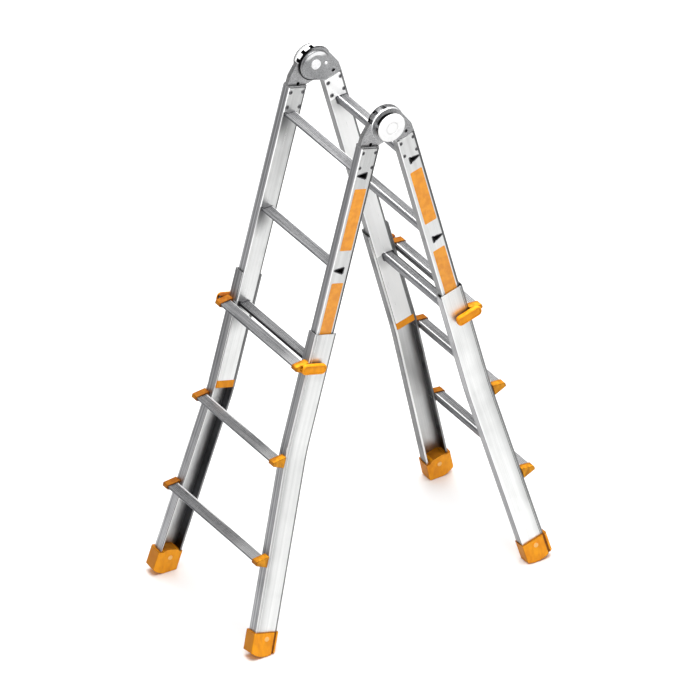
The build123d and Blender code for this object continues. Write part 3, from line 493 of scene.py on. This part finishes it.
# Hinge castings and cheek plates: sand grain, darker pits, painted shade in the holes, and painted shade on
# some rims and painted highlights on others
def hinge_metal(name, dark, light, grain_height, half, hole, rims):
    finish = Finish(name)
    centred = finish.turned(finish.place, move=(0, 0, -hinge_height))
    grains = finish.noise(centred, 620.0, 3.0, 0.7)
    cells = finish.cells(centred, 400.0)
    clouds = finish.noise(centred, 45.0, 4.0)
    rounded, wear_and_highlight = finish.edges(0.0011)
    tone = 0.6 * grains + 0.25 * cells + 0.15 * clouds
    colour = finish.mix(finish.ramp(tone, 0.32, 0.58), dark, light)
    # Paler edges: wear, and a painted highlight
    colour = finish.mix(0.6 * wear_and_highlight, colour, paint(0.93, 0.93, 0.94))
    across, inward, rise = finish.parts(centred)
    facing_across, _, facing_up = finish.facing()
    _, hole_inward, hole_rise = spot(half, 0, *hole) - Vector((0, 0, hinge_height))
    at = {
        "across": across,
        "inward": inward,
        "rise": rise,
        "radius": from_centre(inward, rise),
        "from_hole": from_centre(inward - hole_inward, rise - hole_rise),
        "upright": finish.ramp(abs(facing_across), 0.5, 0.3),
        "outside": finish.ramp(across * facing_across, 0.10, 0.14),
        "level": finish.ramp(facing_up, 0.7, 0.9),
    }
    # Painted shade on the walls of the neck holes
    in_hole = finish.ramp(at["from_hole"], neck_hole_radius + 0.0006, neck_hole_radius + 0.0003)
    hole_shade = at["upright"] * in_hole
    shade, highlight = rims(finish, at)
    # Painted highlights, paler and less metallic
    colour = finish.mix(highlight, colour, paint(0.95, 0.95, 0.955))
    # Painted shade, darkening towards black
    colour = finish.mix(shade.at_least(hole_shade), colour, paint(0.008, 0.008, 0.009))
    return finish.surface(
        Base_Color=colour,
        Metallic=1 - 0.6 * highlight,
        Roughness=0.3 + 0.2 * grains,
        Normal=finish.bump(0.7 * grains + 0.3 * cells, grain_height, 0.5, rounded),
    )


def disc_rims(finish, at):
    """Painted shade in the lock notches and painted highlights on the teeth, both plainer on the right, and
    painted shade on the shoulders' level tops.
    """
    notch = finish.ramp(at["radius"], notch_start, notch_start + 0.0008) * finish.ramp(
        at["radius"], disc_radius - 0.0002, disc_radius - 0.001)
    tooth = finish.ramp(at["radius"], disc_radius - 0.001, disc_radius - 0.0003) * finish.ramp(
        at["radius"], disc_radius + 0.002, disc_radius + 0.001)
    left = finish.ramp(at["across"], 0.05, -0.05)
    shoulder = at["level"] * finish.ramp(at["radius"], shoulder_start, shoulder_start + 0.002)
    # Painted shade in the notches and on the shoulders, painted highlight on the teeth
    shade = at["upright"] * notch * (0.15 + 0.85 * left)
    return shade.at_least(0.7 * shoulder), at["upright"] * tooth * left


def shade_behind_holes(finish, at):
    """Mask of painted shade on the cheeks' facing sides behind their neck holes."""
    beyond = finish.ramp(abs(at["across"]), cheek_gap[0] - 0.0002, cheek_gap[0])
    before = finish.ramp(abs(at["across"]), cheek_gap[1] + 0.0002, cheek_gap[1])
    return beyond * before * finish.ramp(at["from_hole"], hole_shade_reach + 0.004, hole_shade_reach)


def inner_cheek_rims(finish, at):
    """Painted shade on the rim on the front half's side, and a painted highlight, a crescent on top of the
    boss.
    """
    rim = finish.ramp(at["radius"], cheek_radius - 0.0034, cheek_radius - 0.0026) * finish.ramp(
        at["radius"], cheek_radius + 0.002, cheek_radius + 0.001)
    front_side = finish.ramp(at["inward"], 0.012, -0.022)
    crescent = finish.ramp(at["radius"], boss_highlight[0] - 0.004, boss_highlight[0])
    crescent = crescent * finish.ramp(at["radius"], boss_highlight[1] + 0.003, boss_highlight[1])
    crescent = crescent * finish.ramp(at["rise"], 0.016, 0.027) * (1 - at["outside"])
    return (rim * front_side).at_least(shade_behind_holes(finish, at)), 0.85 * crescent


def outer_cheek_rims(finish, at):
    """Painted highlight on the rim, and painted shadow in the middle, under the knob."""
    rim = finish.ramp(at["radius"], cheek_radius - 0.0012, cheek_radius - 0.0005)
    # Painted shadow under the knob
    middle = finish.ramp(at["radius"], seat_shadow + 0.0015, seat_shadow) * at["outside"]
    return middle.at_least(shade_behind_holes(finish, at)), at["upright"] * rim


# Rivets, axles, pins and bolts: bright steel with fine turned lines
def bright_steel(name, dark, light, roughness, metallic=1.0):
    finish = Finish(name)
    turned = finish.noise(finish.turned(finish.place, stretch=(0.15, 1.0, 1.0)), 1600.0, 2.0)
    stains = finish.noise(finish.place, 160.0, 4.0, 0.6)
    rounded, wear_and_highlight = finish.edges(0.0005)
    colour = finish.mix(finish.ramp(stains, 0.35, 0.7), dark, light)
    # Paler edges: wear, and a painted highlight
    colour = finish.mix(0.5 * wear_and_highlight, colour, paint(0.95, 0.95, 0.95))
    return finish.surface(
        Base_Color=colour,
        Metallic=metallic,
        Roughness=roughness + 0.14 * stains,
        Normal=finish.bump(turned, 0.00004, 0.4, rounded),
    )


def spring_steel(name):
    finish = Finish(name)
    drawn = finish.noise(finish.place, 1500.0, 3.0)
    blued = finish.noise(finish.place, 220.0, 3.0)
    return finish.surface(
        Base_Color=finish.mix(blued, paint(0.25, 0.255, 0.27), paint(0.52, 0.525, 0.54)),
        Metallic=1.0,
        Roughness=0.26 + 0.15 * drawn,
        Normal=finish.bump(drawn, 0.00003, 0.4),
    )


# Hinge knobs: pale gloss face with a faint ring and fine handling marks, and painted shadow on the back of
# the skirt
def knob_enamel(name):
    finish = Finish(name)
    across, inward, rise = finish.parts(finish.turned(finish.place, move=(0, 0, -hinge_height)))
    radius = from_centre(inward, rise)
    ring = finish.ramp(abs(radius - knob_ring), 0.0032, 0.0012)
    marks = finish.noise(finish.place, 60.0, 5.0, 0.65)
    fine = finish.noise(finish.place, 1300.0, 2.0)
    rounded, wear_and_highlight = finish.edges(0.001)
    colour = finish.mix(finish.ramp(marks, 0.4, 0.75), paint(0.88, 0.88, 0.875), paint(0.80, 0.80, 0.80))
    colour = finish.mix(0.55 * ring, colour, paint(0.70, 0.70, 0.70))
    # Paler edges: wear, and a painted highlight
    colour = finish.mix(0.5 * wear_and_highlight, colour, paint(0.94, 0.94, 0.94))
    facing_across = finish.facing()[0]
    # Painted shadow on the back of the knob's skirt, next to the cheek
    skirt = finish.ramp(abs(facing_across), 0.45, 0.25)
    skirt = skirt * finish.ramp(abs(across), skirt_shadow_end + 0.001, skirt_shadow_end)
    colour = finish.mix(0.97 * skirt, colour, paint(0.015, 0.015, 0.016))
    return finish.surface(
        Base_Color=colour,
        Metallic=0.0,
        Roughness=0.3 + 0.16 * finish.ramp(marks, 0.45, 0.7),
        Coat_Weight=0.25,
        Normal=finish.bump(fine, 0.00003, 0.3, rounded),
    )


# Orange mouldings: spark-eroded grain, flow clouds, painted shade on faces turned front and back, darker
# patches along the edges, and painted shade from a mask
def lever_shade(finish):
    """Mask of painted shade on a lever's back, next to its rail, and on all but the face of a left-hand
    lever.
    """
    across = finish.parts(finish.place)[0]
    back = finish.ramp(abs(across), lever_middle, lever_back)
    left_lever = finish.ramp(across, 0.1, -0.1) * finish.ramp(abs(across), lever_front, lever_middle)
    return (0.7 * back).at_least(0.9 * left_lever)


def cap_shade(finish, half):
    """Mask of painted shade at the caps' inner ends, round the rungs, and on the left-hand caps' upper and
    inner faces.
    """
    across, _, rise = finish.parts(upright_place(finish, half))
    facing_across, _, facing_up = finish.facing()
    inner_end = finish.ramp(abs(across) - bend_shift(rise), cap_start + 0.014, cap_start + 0.002)
    left_cap = finish.ramp(across, 0.1, -0.1) * finish.ramp(facing_across.at_least(facing_up), 0.2, 0.5)
    return (0.5 * inner_end).at_least(0.7 * left_cap)


def boot_shade(finish, half):
    """Mask of painted shade in the groove down a boot's outer face and on the ledge round its rim."""
    across, along, _ = finish.parts(upright_place(finish, half))
    behind = along + half_signs[half] * rail_offset
    from_groove = abs(behind - boot_groove_place[half])
    groove = finish.ramp(from_groove, boot_groove + 0.0004, boot_groove - 0.0004)
    groove = groove * finish.ramp(abs(across), boot_side - 0.001, boot_side + 0.001)
    ledge = finish.ramp(finish.facing()[2], 0.82, 0.93)
    return (0.85 * groove).at_least(0.55 * ledge)


def orange_moulding(name, dark, light, grain, end_shade_weight, edge_darkening, shade_mask=None):
    """Finish of a moulding; grain holds the scale and the height of its surface grain."""
    finish = Finish(name)
    grain_scale, grain_height = grain
    grains = finish.cells(finish.place, grain_scale)
    fine = finish.noise(finish.place, 2.2 * grain_scale, 2.0)
    flow = finish.noise(finish.turned(finish.place, stretch=(1.0, 1.0, 0.4)), 70.0, 3.0, 0.55)
    marks = finish.noise(finish.place, 210.0, 4.0, 0.7)
    rounded, edge = finish.edges(0.0032)
    facing_behind = finish.facing()[1]
    colour = finish.mix(finish.ramp(flow, 0.3, 0.7), dark, light)
    # Painted shade on faces turned front and back
    ends = finish.ramp(abs(facing_behind), 0.6, 0.9)
    colour = finish.mix(end_shade_weight * ends, colour, paint(0.24, 0.075, 0.003))
    colour = finish.mix(0.3 * finish.ramp(marks, 0.6, 0.75), colour, paint(0.46, 0.17, 0.02))
    # Darker patches along the edges
    dark_edges = edge * finish.ramp(marks, 0.25, 0.55)
    colour = finish.mix(edge_darkening * dark_edges, colour, paint(0.10, 0.034, 0.003))
    if shade_mask:
        # Painted shade from the mask
        colour = finish.mix(shade_mask(finish), colour, paint(0.17, 0.034, 0.002))
    return finish.surface(
        Base_Color=colour,
        Metallic=0.0,
        Roughness=0.48 + 0.18 * fine,
        Specular_IOR_Level=0.2,
        Normal=finish.bump(grains + 0.5 * fine, grain_height, 0.4, rounded),
    )


def foot_rivet_steel(name):
    """Dull rivets, with lacquered heads where they hold the boots."""
    finish = Finish(name)
    stains = finish.noise(finish.place, 160.0, 4.0, 0.6)
    fine = finish.noise(finish.place, 1500.0, 2.0)
    low = finish.ramp(finish.parts(finish.place)[2], boot_top + 0.01, boot_top)
    colour = finish.mix(finish.ramp(stains, 0.35, 0.7), paint(0.16, 0.16, 0.165), paint(0.30, 0.30, 0.31))
    colour = finish.mix(low, colour, finish.mix(stains, paint(0.85, 0.40, 0.06), paint(0.98, 0.62, 0.22)))
    return finish.surface(
        Base_Color=colour,
        Metallic=1 - low,
        Roughness=0.35 + 0.14 * stains,
        Normal=finish.bump(fine, 0.00004, 0.4),
    )


def label_film_finish(name):
    """Bare orange film: satin, with faint ripples and paler rubbed edges."""
    finish = Finish(name)
    ripples = finish.noise(finish.place, 55.0, 3.0)
    scuffs = finish.noise(finish.turned(finish.place, stretch=(1.0, 1.0, 0.1)), 700.0, 3.0)
    rubbed = finish.ramp(scuffs, 0.6, 0.72)
    colour = finish.mix(finish.ramp(ripples, 0.3, 0.7), paint(0.76, 0.26, 0.005), paint(0.88, 0.34, 0.009))
    colour = finish.mix(0.35 * rubbed, colour, paint(0.95, 0.46, 0.10))
    return finish.surface(
        Base_Color=colour,
        Metallic=0.0,
        Roughness=0.33 + 0.22 * rubbed,
        Coat_Weight=0.15,
        Normal=finish.bump(ripples + 0.2 * scuffs, 0.0001, 0.25),
    )


# The finishes, with the painted light of each rail's web and front flange, and of the rungs' treads: lit
# and shaded copies of one aluminium.
# Paired rungs are the lowest inner and the top outer one, side by side, with painted shade between them.
rail_lights = {
    "front": {"inner": (1.0, 0.74), "left": (1.08, 0.45), "right": (1.08, 0.45)},
    "rear": {"inner": (1.2, 0.12), "left": (1.2, 0.09), "right": (1.2, 0.34)},
}
tread_lights = {"front": {"inner": 0.38, "outer": 0.36}, "rear": {"inner": 0.38, "outer": 0.42}}
rail_finishes = {}
rung_finishes = {}
for half in halves:
    for rail, lights in rail_lights[half].items():
        name = f"{half}_inner_rail_aluminium" if rail == "inner" else f"{half}_{rail}_outer_rail_aluminium"
        rail_finishes[half, rail] = rail_aluminium(name, half, rail, *lights)
    for kind, shaded in (("single", 0), ("paired", 1)):
        outward = -shaded * half_signs[half]
        for ladder, shaded_way in (("inner", outward), ("outer", -outward)):
            name = f"{half}_{kind}_{ladder}_rung_aluminium"
            light = tread_lights[half][ladder]
            rung_finishes[half, ladder, kind] = rung_aluminium(name, half, ladder, light, shaded_way)
casting_dark = paint(0.20, 0.20, 0.21)
casting_light = paint(0.60, 0.60, 0.605)
disc_finish = hinge_metal(
    "hinge_casting", casting_dark, casting_light, 0.00016, "front", disc_hole, disc_rims)
cheek_dark = paint(0.17, 0.173, 0.178)
cheek_light = paint(0.52, 0.523, 0.53)
inner_cheek_finish = hinge_metal(
    "inner_cheek_steel", cheek_dark, cheek_light, 0.00012, "rear", cheek_hole, inner_cheek_rims)
outer_cheek_finish = hinge_metal(
    "outer_cheek_steel", cheek_dark, cheek_light, 0.00012, "rear", cheek_hole, outer_cheek_rims)
steel_finish = bright_steel("bright_steel", paint(0.74, 0.75, 0.76), paint(0.92, 0.925, 0.93), 0.22)
# Paler, less metallic copy of the bright steel for the axles and stop pins: painted reflection
axle_finish = bright_steel("axle_steel", paint(0.80, 0.80, 0.805), paint(0.95, 0.95, 0.955), 0.3, 0.35)
rivet_finish = bright_steel("dull_rivet_steel", paint(0.16, 0.16, 0.165), paint(0.30, 0.30, 0.31), 0.42)
outer_rivet_finish = foot_rivet_steel("outer_rivet_steel")
spring_finish = spring_steel("spring_steel")
knob_finish = knob_enamel("knob_enamel")
fine_grain = (900.0, 0.00008)       # scale and height
coarse_grain = (620.0, 0.00012)
lever_finish = orange_moulding(
    "lever_plastic", paint(0.84, 0.29, 0.005), paint(0.97, 0.375, 0.008), fine_grain, 0.3, 0.45,
    lever_shade)
plug_finish = orange_moulding(
    "plug_plastic", paint(0.78, 0.26, 0.006), paint(0.90, 0.335, 0.009), fine_grain, 0.3, 0.45)
cap_finishes = {}
boot_finishes = {}
for half in halves:
    cap_finishes[half] = orange_moulding(
        f"{half}_cap_plastic", paint(0.42, 0.148, 0.003), paint(0.80, 0.33, 0.007), fine_grain, 0.5, 0.9,
        partial(cap_shade, half=half))
    boot_finishes[half] = orange_moulding(
        f"{half}_foot_rubber", paint(0.82, 0.275, 0.006), paint(0.97, 0.385, 0.008), coarse_grain, 0.6, 0.7,
        partial(boot_shade, half=half))
label_finish = label_film_finish("label_film")

# The first of these words in a solid's name gives its finish
finish_words = {
    "plugs": plug_finish,
    "lock_lever": lever_finish,
    "disc": disc_finish,
    "spacers": disc_finish,
    "inner_cheek": inner_cheek_finish,
    "outer_cheek": outer_cheek_finish,
    "hinge_knob": knob_finish,
    "spring": spring_finish,
    "outer_rivets": outer_rivet_finish,
    "rivets": rivet_finish,
    "axles": axle_finish,
}


def finish_of(node):
    """The finish of a solid, from the words in its name."""
    words = node.split("_")
    half = words[0]
    if "rail" in words:
        return rail_finishes[half, "inner" if "inner" in words else words[-1]]
    if "rung" in words and "caps" not in words:
        paired = words[1:] in (["inner", "rung", "3"], ["outer", "rung", "1"])
        return rung_finishes[half, words[1], "paired" if paired else "single"]
    if "foot" in words:
        return boot_finishes[half]
    if "caps" in words or "brackets" in words:
        return cap_finishes[half]
    for part, finish in finish_words.items():
        if part in node:
            return finish
    return steel_finish


for name, node in frame["nodes"].items():
    for slot in node.material_slots:
        slot.material = finish_of(name)


# Making pieces
def scene_object(name, data):
    """New object in the scene, at the origin."""
    made = bpy.data.objects.new(name, data)
    bpy.context.scene.collection.objects.link(made)
    return made


def piece(name, mesh, body):
    """An object that rides on a body."""
    made = scene_object(name, mesh)
    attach(made, body)
    return made


def grown(name, start, tree, values):
    """Plain mesh that a geometry tree makes from a starting mesh."""
    maker = scene_object(name + "_maker", start)
    modifier = maker.modifiers.new("grow", "NODES")
    modifier.node_group = tree
    sockets = [item for item in tree.interface.items_tree if item.item_type == "SOCKET"]
    identifiers = {socket.name: socket.identifier for socket in sockets}
    for key, value in values.items():
        modifier[identifiers[key]] = value
    mesh = bpy.data.meshes.new_from_object(maker.evaluated_get(bpy.context.evaluated_depsgraph_get()))
    mesh.name = name
    bpy.data.objects.remove(maker)
    return mesh


def geometry_tree(name, inputs):
    """Empty geometry tree with named inputs; returns the tree and its inputs as values."""
    group = bpy.data.node_groups.new(name, "GeometryNodeTree")
    group.interface.new_socket("Geometry", in_out="INPUT", socket_type="NodeSocketGeometry")
    for key, kind in inputs.items():
        group.interface.new_socket(key, in_out="INPUT", socket_type=kind)
    group.interface.new_socket("Geometry", in_out="OUTPUT", socket_type="NodeSocketGeometry")
    tree = Tree(group)
    first = tree.node("NodeGroupInput")
    return tree, {socket.name: Value(tree, socket) for socket in first.socket.node.outputs if socket.name}


def closed_tree(tree, made, material):
    """End a geometry tree with plain geometry in one material."""
    whole = tree.node("GeometryNodeRealizeInstances", None, {"Geometry": made})
    shown = tree.node("GeometryNodeSetMaterial", None, {"Geometry": whole, "Material": material})
    tree.node("NodeGroupOutput", None, {"Geometry": shown})
    return tree.node_tree


def bead_tree():
    """Round bead along the edges of a mesh."""
    tree, given = geometry_tree("bead_along_path", {
        "Radius": "NodeSocketFloat", "Sides": "NodeSocketInt", "Material": "NodeSocketMaterial"})
    path = tree.node("GeometryNodeMeshToCurve", None, {"Mesh": given["Geometry"]})
    round_wire = tree.node("GeometryNodeCurvePrimitiveCircle", {"mode": "RADIUS"}, {
        "Resolution": given["Sides"], "Radius": given["Radius"]})
    bead = tree.node("GeometryNodeCurveToMesh", None, {
        "Curve": path, "Profile Curve": round_wire, "Fill Caps": True})
    return closed_tree(tree, bead, given["Material"])


def rivet_tree():
    """One rivet on each point, turned to the direction that the point holds."""
    tree, given = geometry_tree("rivets_on_points", {
        "Rivet": "NodeSocketObject", "Material": "NodeSocketMaterial"})
    facing = tree.node("GeometryNodeInputNamedAttribute", {"data_type": "FLOAT_VECTOR"}, {"Name": "facing"})
    turn = tree.node("FunctionNodeAlignRotationToVector", {"axis": "Z"}, {"Vector": facing})
    shape = tree.node("GeometryNodeObjectInfo", None, {"Object": given["Rivet"]}, "Geometry")
    points = tree.node("GeometryNodeMeshToPoints", None, {"Mesh": given["Geometry"]})
    placed = tree.node("GeometryNodeInstanceOnPoints", None, {
        "Points": points, "Instance": shape, "Rotation": turn})
    return closed_tree(tree, placed, given["Material"])


bead_maker = bead_tree()
rivet_maker = rivet_tree()


def path_mesh(name, paths, closed):
    """Mesh of edges along several lists of points."""
    vertices, edges = [], []
    for path in paths:
        first = len(vertices)
        vertices.extend(path)
        edges.extend((first + i, first + i + 1) for i in range(len(path) - 1))
        if closed:
            edges.append((first + len(path) - 1, first))
    mesh = bpy.data.meshes.new(name)
    mesh.from_pydata(vertices, edges, [])
    return mesh


def smooth(mesh):
    mesh.shade_smooth()
    mesh.set_sharp_from_angle(angle=radians(35.0))
    return mesh


def round_corner(before, corner, after, radius, steps=5):
    """Points of an arc that rounds a corner between two straight sides."""
    arriving = (before - corner).normalized()
    leaving = (after - corner).normalized()
    half_corner = arriving.angle(leaving) / 2
    middle = corner + (arriving + leaving).normalized() * (radius / sin(half_corner))
    start = corner + arriving * (radius / tan(half_corner)) - middle
    end = corner + leaving * (radius / tan(half_corner)) - middle
    turn = start.angle(end)
    arc = []
    for step in range(steps + 1):
        share = step / steps
        weight_start = sin((1 - share) * turn) / sin(turn)
        weight_end = sin(share * turn) / sin(turn)
        arc.append(middle + start * weight_start + end * weight_end)
    return arc


def rounded_loop(corners, radius):
    """Closed outline with its corners rounded."""
    points = []
    for index, corner in enumerate(corners):
        points.extend(round_corner(corners[index - 1], corner, corners[(index + 1) % len(corners)], radius))
    return points


# Bare label strips in the recess of the right-hand inner rails
def label_strips(half):
    side = half_signs[half]
    floor = side * (recess_face + label_rise)
    near = rail_offset - label_width / 2
    far = rail_offset + label_width / 2
    bm = bmesh.new()
    for first, last in label_reaches:
        outline = ((near, first), (far, first), (far, last), (near, last))
        corners = [spot(half, floor, out, drop) for out, drop in outline]
        rim = [bm.verts.new(point) for point in rounded_loop(corners, label_corner)]
        face = bm.faces.new(rim)
        raised = bmesh.ops.extrude_face_region(bm, geom=[face])
        lifted = [item for item in raised["geom"] if isinstance(item, bmesh.types.BMVert)]
        bmesh.ops.translate(bm, vec=across_way(half, side) * label_film, verts=lifted)
    bmesh.ops.recalc_face_normals(bm, faces=bm.faces)
    mesh = bpy.data.meshes.new(f"{half}_label_strips")
    bm.to_mesh(mesh)
    mesh.materials.append(label_finish)
    piece(f"{half}_label_strips", mesh, f"{half}_inner")


# Swaged lips round the open ends of the inner rungs
def rung_lips(half):
    loops = []
    rear = rung_rears["inner"]
    front = rear + rung_depth
    for side in sides.values():
        for tread in inner_treads:
            outline = (
                (rear, tread_drop(tread, rear)),
                (front, tread_drop(tread, front)),
                (front, tread_drop(tread, front) + rung_nose),
                (rear, tread_drop(tread, rear) + rung_back),
            )
            corners = [spot(half, side * recess_face, out, drop) for out, drop in outline]
            loops.append(rounded_loop(corners, rung_corner))
    start = path_mesh(f"{half}_rung_lips", loops, True)
    mesh = grown(f"{half}_rung_lips", start, bead_maker, {
        "Radius": lip_radius, "Sides": 10, "Material": rung_finishes[half, "inner", "single"]})
    piece(f"{half}_rung_lips", smooth(mesh), f"{half}_inner")


# Rib along the web of each outer rail
def web_ribs(half):
    drops = [outer_top + rib_margin, bend_start]
    drops += [bend_start + bend_radius * sin(flare * (i + 1) / bend_steps) for i in range(bend_steps)]
    drops += [foot_rim - rib_margin]
    paths = []
    for side in sides.values():
        paths.append([spot(half, side * (web_face + web_shift(drop)), rib_out, drop) for drop in drops])
    start = path_mesh(f"{half}_web_ribs", paths, False)
    mesh = grown(f"{half}_web_ribs", start, bead_maker, {
        "Radius": rib_radius, "Sides": 12, "Material": rail_finishes[half, "inner"]})
    piece(f"{half}_web_ribs", smooth(mesh), f"{half}_outer")


# Hollow rivets that hold the hinge tangs in the inner rails, and the stop pins' heads
def lathed(name, profile):
    """Object made by turning a list of radii and heights about z."""
    bm = bmesh.new()
    line = [bm.verts.new((radius, 0, height)) for radius, height in profile]
    for first, second in zip(line, line[1:]):
        bm.edges.new((first, second))
    whole = bm.verts[:] + bm.edges[:]
    bmesh.ops.spin(bm, geom=whole, cent=(0, 0, 0), axis=(0, 0, 1), angle=2 * pi, steps=28)
    bmesh.ops.remove_doubles(bm, verts=bm.verts, dist=1e-6)
    bmesh.ops.recalc_face_normals(bm, faces=bm.faces)
    mesh = bpy.data.meshes.new(name)
    bm.to_mesh(mesh)
    return scene_object(name, mesh)


def rivet_shape():
    """Blind rivet turned about z: domed head on the rail's inner face, rolled tail on its outer face."""
    length = recess_face - inner_face
    top = length + rivet_tail_height
    profile = [
        (0.0, -rivet_head_height + rivet_bore_depth),
        (rivet_bore, -rivet_head_height + rivet_bore_depth),
        (rivet_bore, -rivet_head_height + 0.0002),
        (rivet_bore + 0.0003, -rivet_head_height),
        (rivet_head * 0.72, -rivet_head_height * 0.86),
        (rivet_head * 0.93, -rivet_head_height * 0.45),
        (rivet_head, -0.0001),
        (rivet_shank, 0.0),
        (rivet_shank, length),
        (rivet_head * 0.9, length),
        (rivet_head * 0.86, top - 0.0003),
        (rivet_head * 0.66, top),
        (rivet_bore + 0.0003, top),
        (rivet_bore, top - 0.0003),
        (rivet_bore, top - rivet_bore_depth),
        (0.0, top - rivet_bore_depth),
    ]
    return lathed("rivet_shape", profile)


def stop_pin_shape():
    """Domed head of a stop pin, turned about z, with a flat seat."""
    return lathed("stop_pin_shape", [
        (0.0, 0.0),
        (0.0044, 0.0),
        (0.0044, 0.0009),
        (0.0038, 0.0020),
        (0.0024, 0.0026),
        (0.0, 0.0028),
    ])


def on_points(name, points, facings, shape, finish):
    """Mesh with one copy of a shape on each point."""
    start = bpy.data.meshes.new(name + "_points")
    start.from_pydata(points, [], [])
    attribute = start.attributes.new("facing", "FLOAT_VECTOR", "POINT")
    attribute.data.foreach_set("vector", [number for facing in facings for number in facing])
    return smooth(grown(name, start, rivet_maker, {"Rivet": shape, "Material": finish}))


def hinge_rivets(half, shape):
    places = [(side, out, drop) for side in sides.values() for out in rivet_outs for drop in rivet_drops]
    points = [spot(half, side * inner_face, out, drop) for side, out, drop in places]
    facings = [across_way(half, side) for side, _, _ in places]
    mesh = on_points(f"{half}_hollow_rivets", points, facings, shape, rivet_finish)
    made = piece(f"{half}_hollow_rivets", mesh, f"{half}_inner")
    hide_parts(f"{half}_hinge_rivets")


def stop_pins(shape):
    points = [spot("rear", side * boss_face, *stop_pin) for side in sides.values()]
    facings = [across_way("rear", -side) for side in sides.values()]
    mesh = on_points("stop_pins", points, facings, shape, axle_finish)
    piece("stop_pins", mesh, "rear_inner")


# Springs under the hinge knobs, which ride on the knobs
def knob_coils(side_name):
    node = frame["nodes"][f"knob_spring_{side_name}"]
    mesh = node.data.copy()
    mesh.transform(node.matrix_world)
    made = piece(f"knob_coils_{side_name}", mesh, f"knob_{side_name}")
    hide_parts(node.name)
    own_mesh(made)


rivet_template = rivet_shape()
stop_pin_template = stop_pin_shape()
for half in halves:
    label_strips(half)
    rung_lips(half)
    web_ribs(half)
    hinge_rivets(half, rivet_template)
stop_pins(stop_pin_template)
for side_name in sides:
    knob_coils(side_name)
bpy.data.objects.remove(rivet_template)
bpy.data.objects.remove(stop_pin_template)


# Floor, light and camera
floor_reach = 40.0
floor_gap = 0.0005                  # between the soles and the floor
camera_azimuth = radians(57.48)
camera_elevation = radians(32.81)
camera_distance = 80.0
pixels_per_metre = 379.0
image_size = 700
aim_drop = 0.746                    # point that the camera aims at, below the hinge axis
aim_shift = (0.003, -0.0503)        # and then to the right and up in the picture


def pale_floor():
    finish = Finish("pale_floor")
    tone = finish.noise(finish.place, 3.0, 3.0)
    mesh = bpy.data.meshes.new("floor")
    corners = [(floor_reach * x, floor_reach * y, 0) for x, y in ((-1, -1), (1, -1), (1, 1), (-1, 1))]
    mesh.from_pydata(corners, [], [(0, 1, 2, 3)])
    colour = finish.mix(tone, paint(0.90, 0.90, 0.90), paint(0.92, 0.92, 0.92))
    mesh.materials.append(finish.surface(Base_Color=colour, Roughness=0.8))
    floor = scene_object("floor", mesh)
    floor.location.z = -floor_gap


def soft_box(name, place, turn, size, power, mirrored):
    """Rectangular light, turned from facing straight down; mirrored says whether metal shows it."""
    light = bpy.data.lights.new(name, "AREA")
    light.shape = "RECTANGLE"
    light.size, light.size_y = size
    light.energy = power
    lamp = scene_object(name, light)
    lamp.location = place
    lamp.rotation_euler = turn
    lamp.visible_camera = False
    lamp.visible_glossy = mirrored


def studio():
    world = bpy.data.worlds.new("studio")
    world.use_nodes = True
    world.node_tree.nodes["Background"].inputs["Color"].default_value = paint(1.0, 1.0, 1.0)
    world.node_tree.nodes["Background"].inputs["Strength"].default_value = 0.3
    bpy.context.scene.world = world
    turn = (0, 0, camera_azimuth)
    soft_box("floor_light", (-0.75, 0.5, 2.8), turn, (2.6, 6.0), 150.0, False)
    soft_box("top_light", (0.4, -0.2, 3.2), turn, (2.0, 2.0), 60.0, True)
    bpy.context.scene.view_settings.view_transform = "Standard"


def photo_camera():
    """Long lens at the photograph's angle, framed by the fitted scale."""
    azimuth, elevation = camera_azimuth, camera_elevation
    right = Vector((cos(azimuth), sin(azimuth), 0))
    up = Vector((-sin(azimuth) * sin(elevation), cos(azimuth) * sin(elevation), cos(elevation)))
    back = right.cross(up)
    aim = Vector((0, 0, hinge_height - aim_drop)) + right * aim_shift[0] + up * aim_shift[1]
    lens = bpy.data.cameras.new("photo_camera")
    lens.sensor_width = 36.0
    lens.lens = pixels_per_metre * camera_distance / image_size * lens.sensor_width
    lens.clip_end = 200.0
    camera = scene_object("photo_camera", lens)
    turn = Matrix((right, up, back)).transposed().to_4x4()
    camera.matrix_world = Matrix.Translation(aim + back * camera_distance) @ turn
    bpy.context.scene.camera = camera


pale_floor()
studio()
photo_camera()
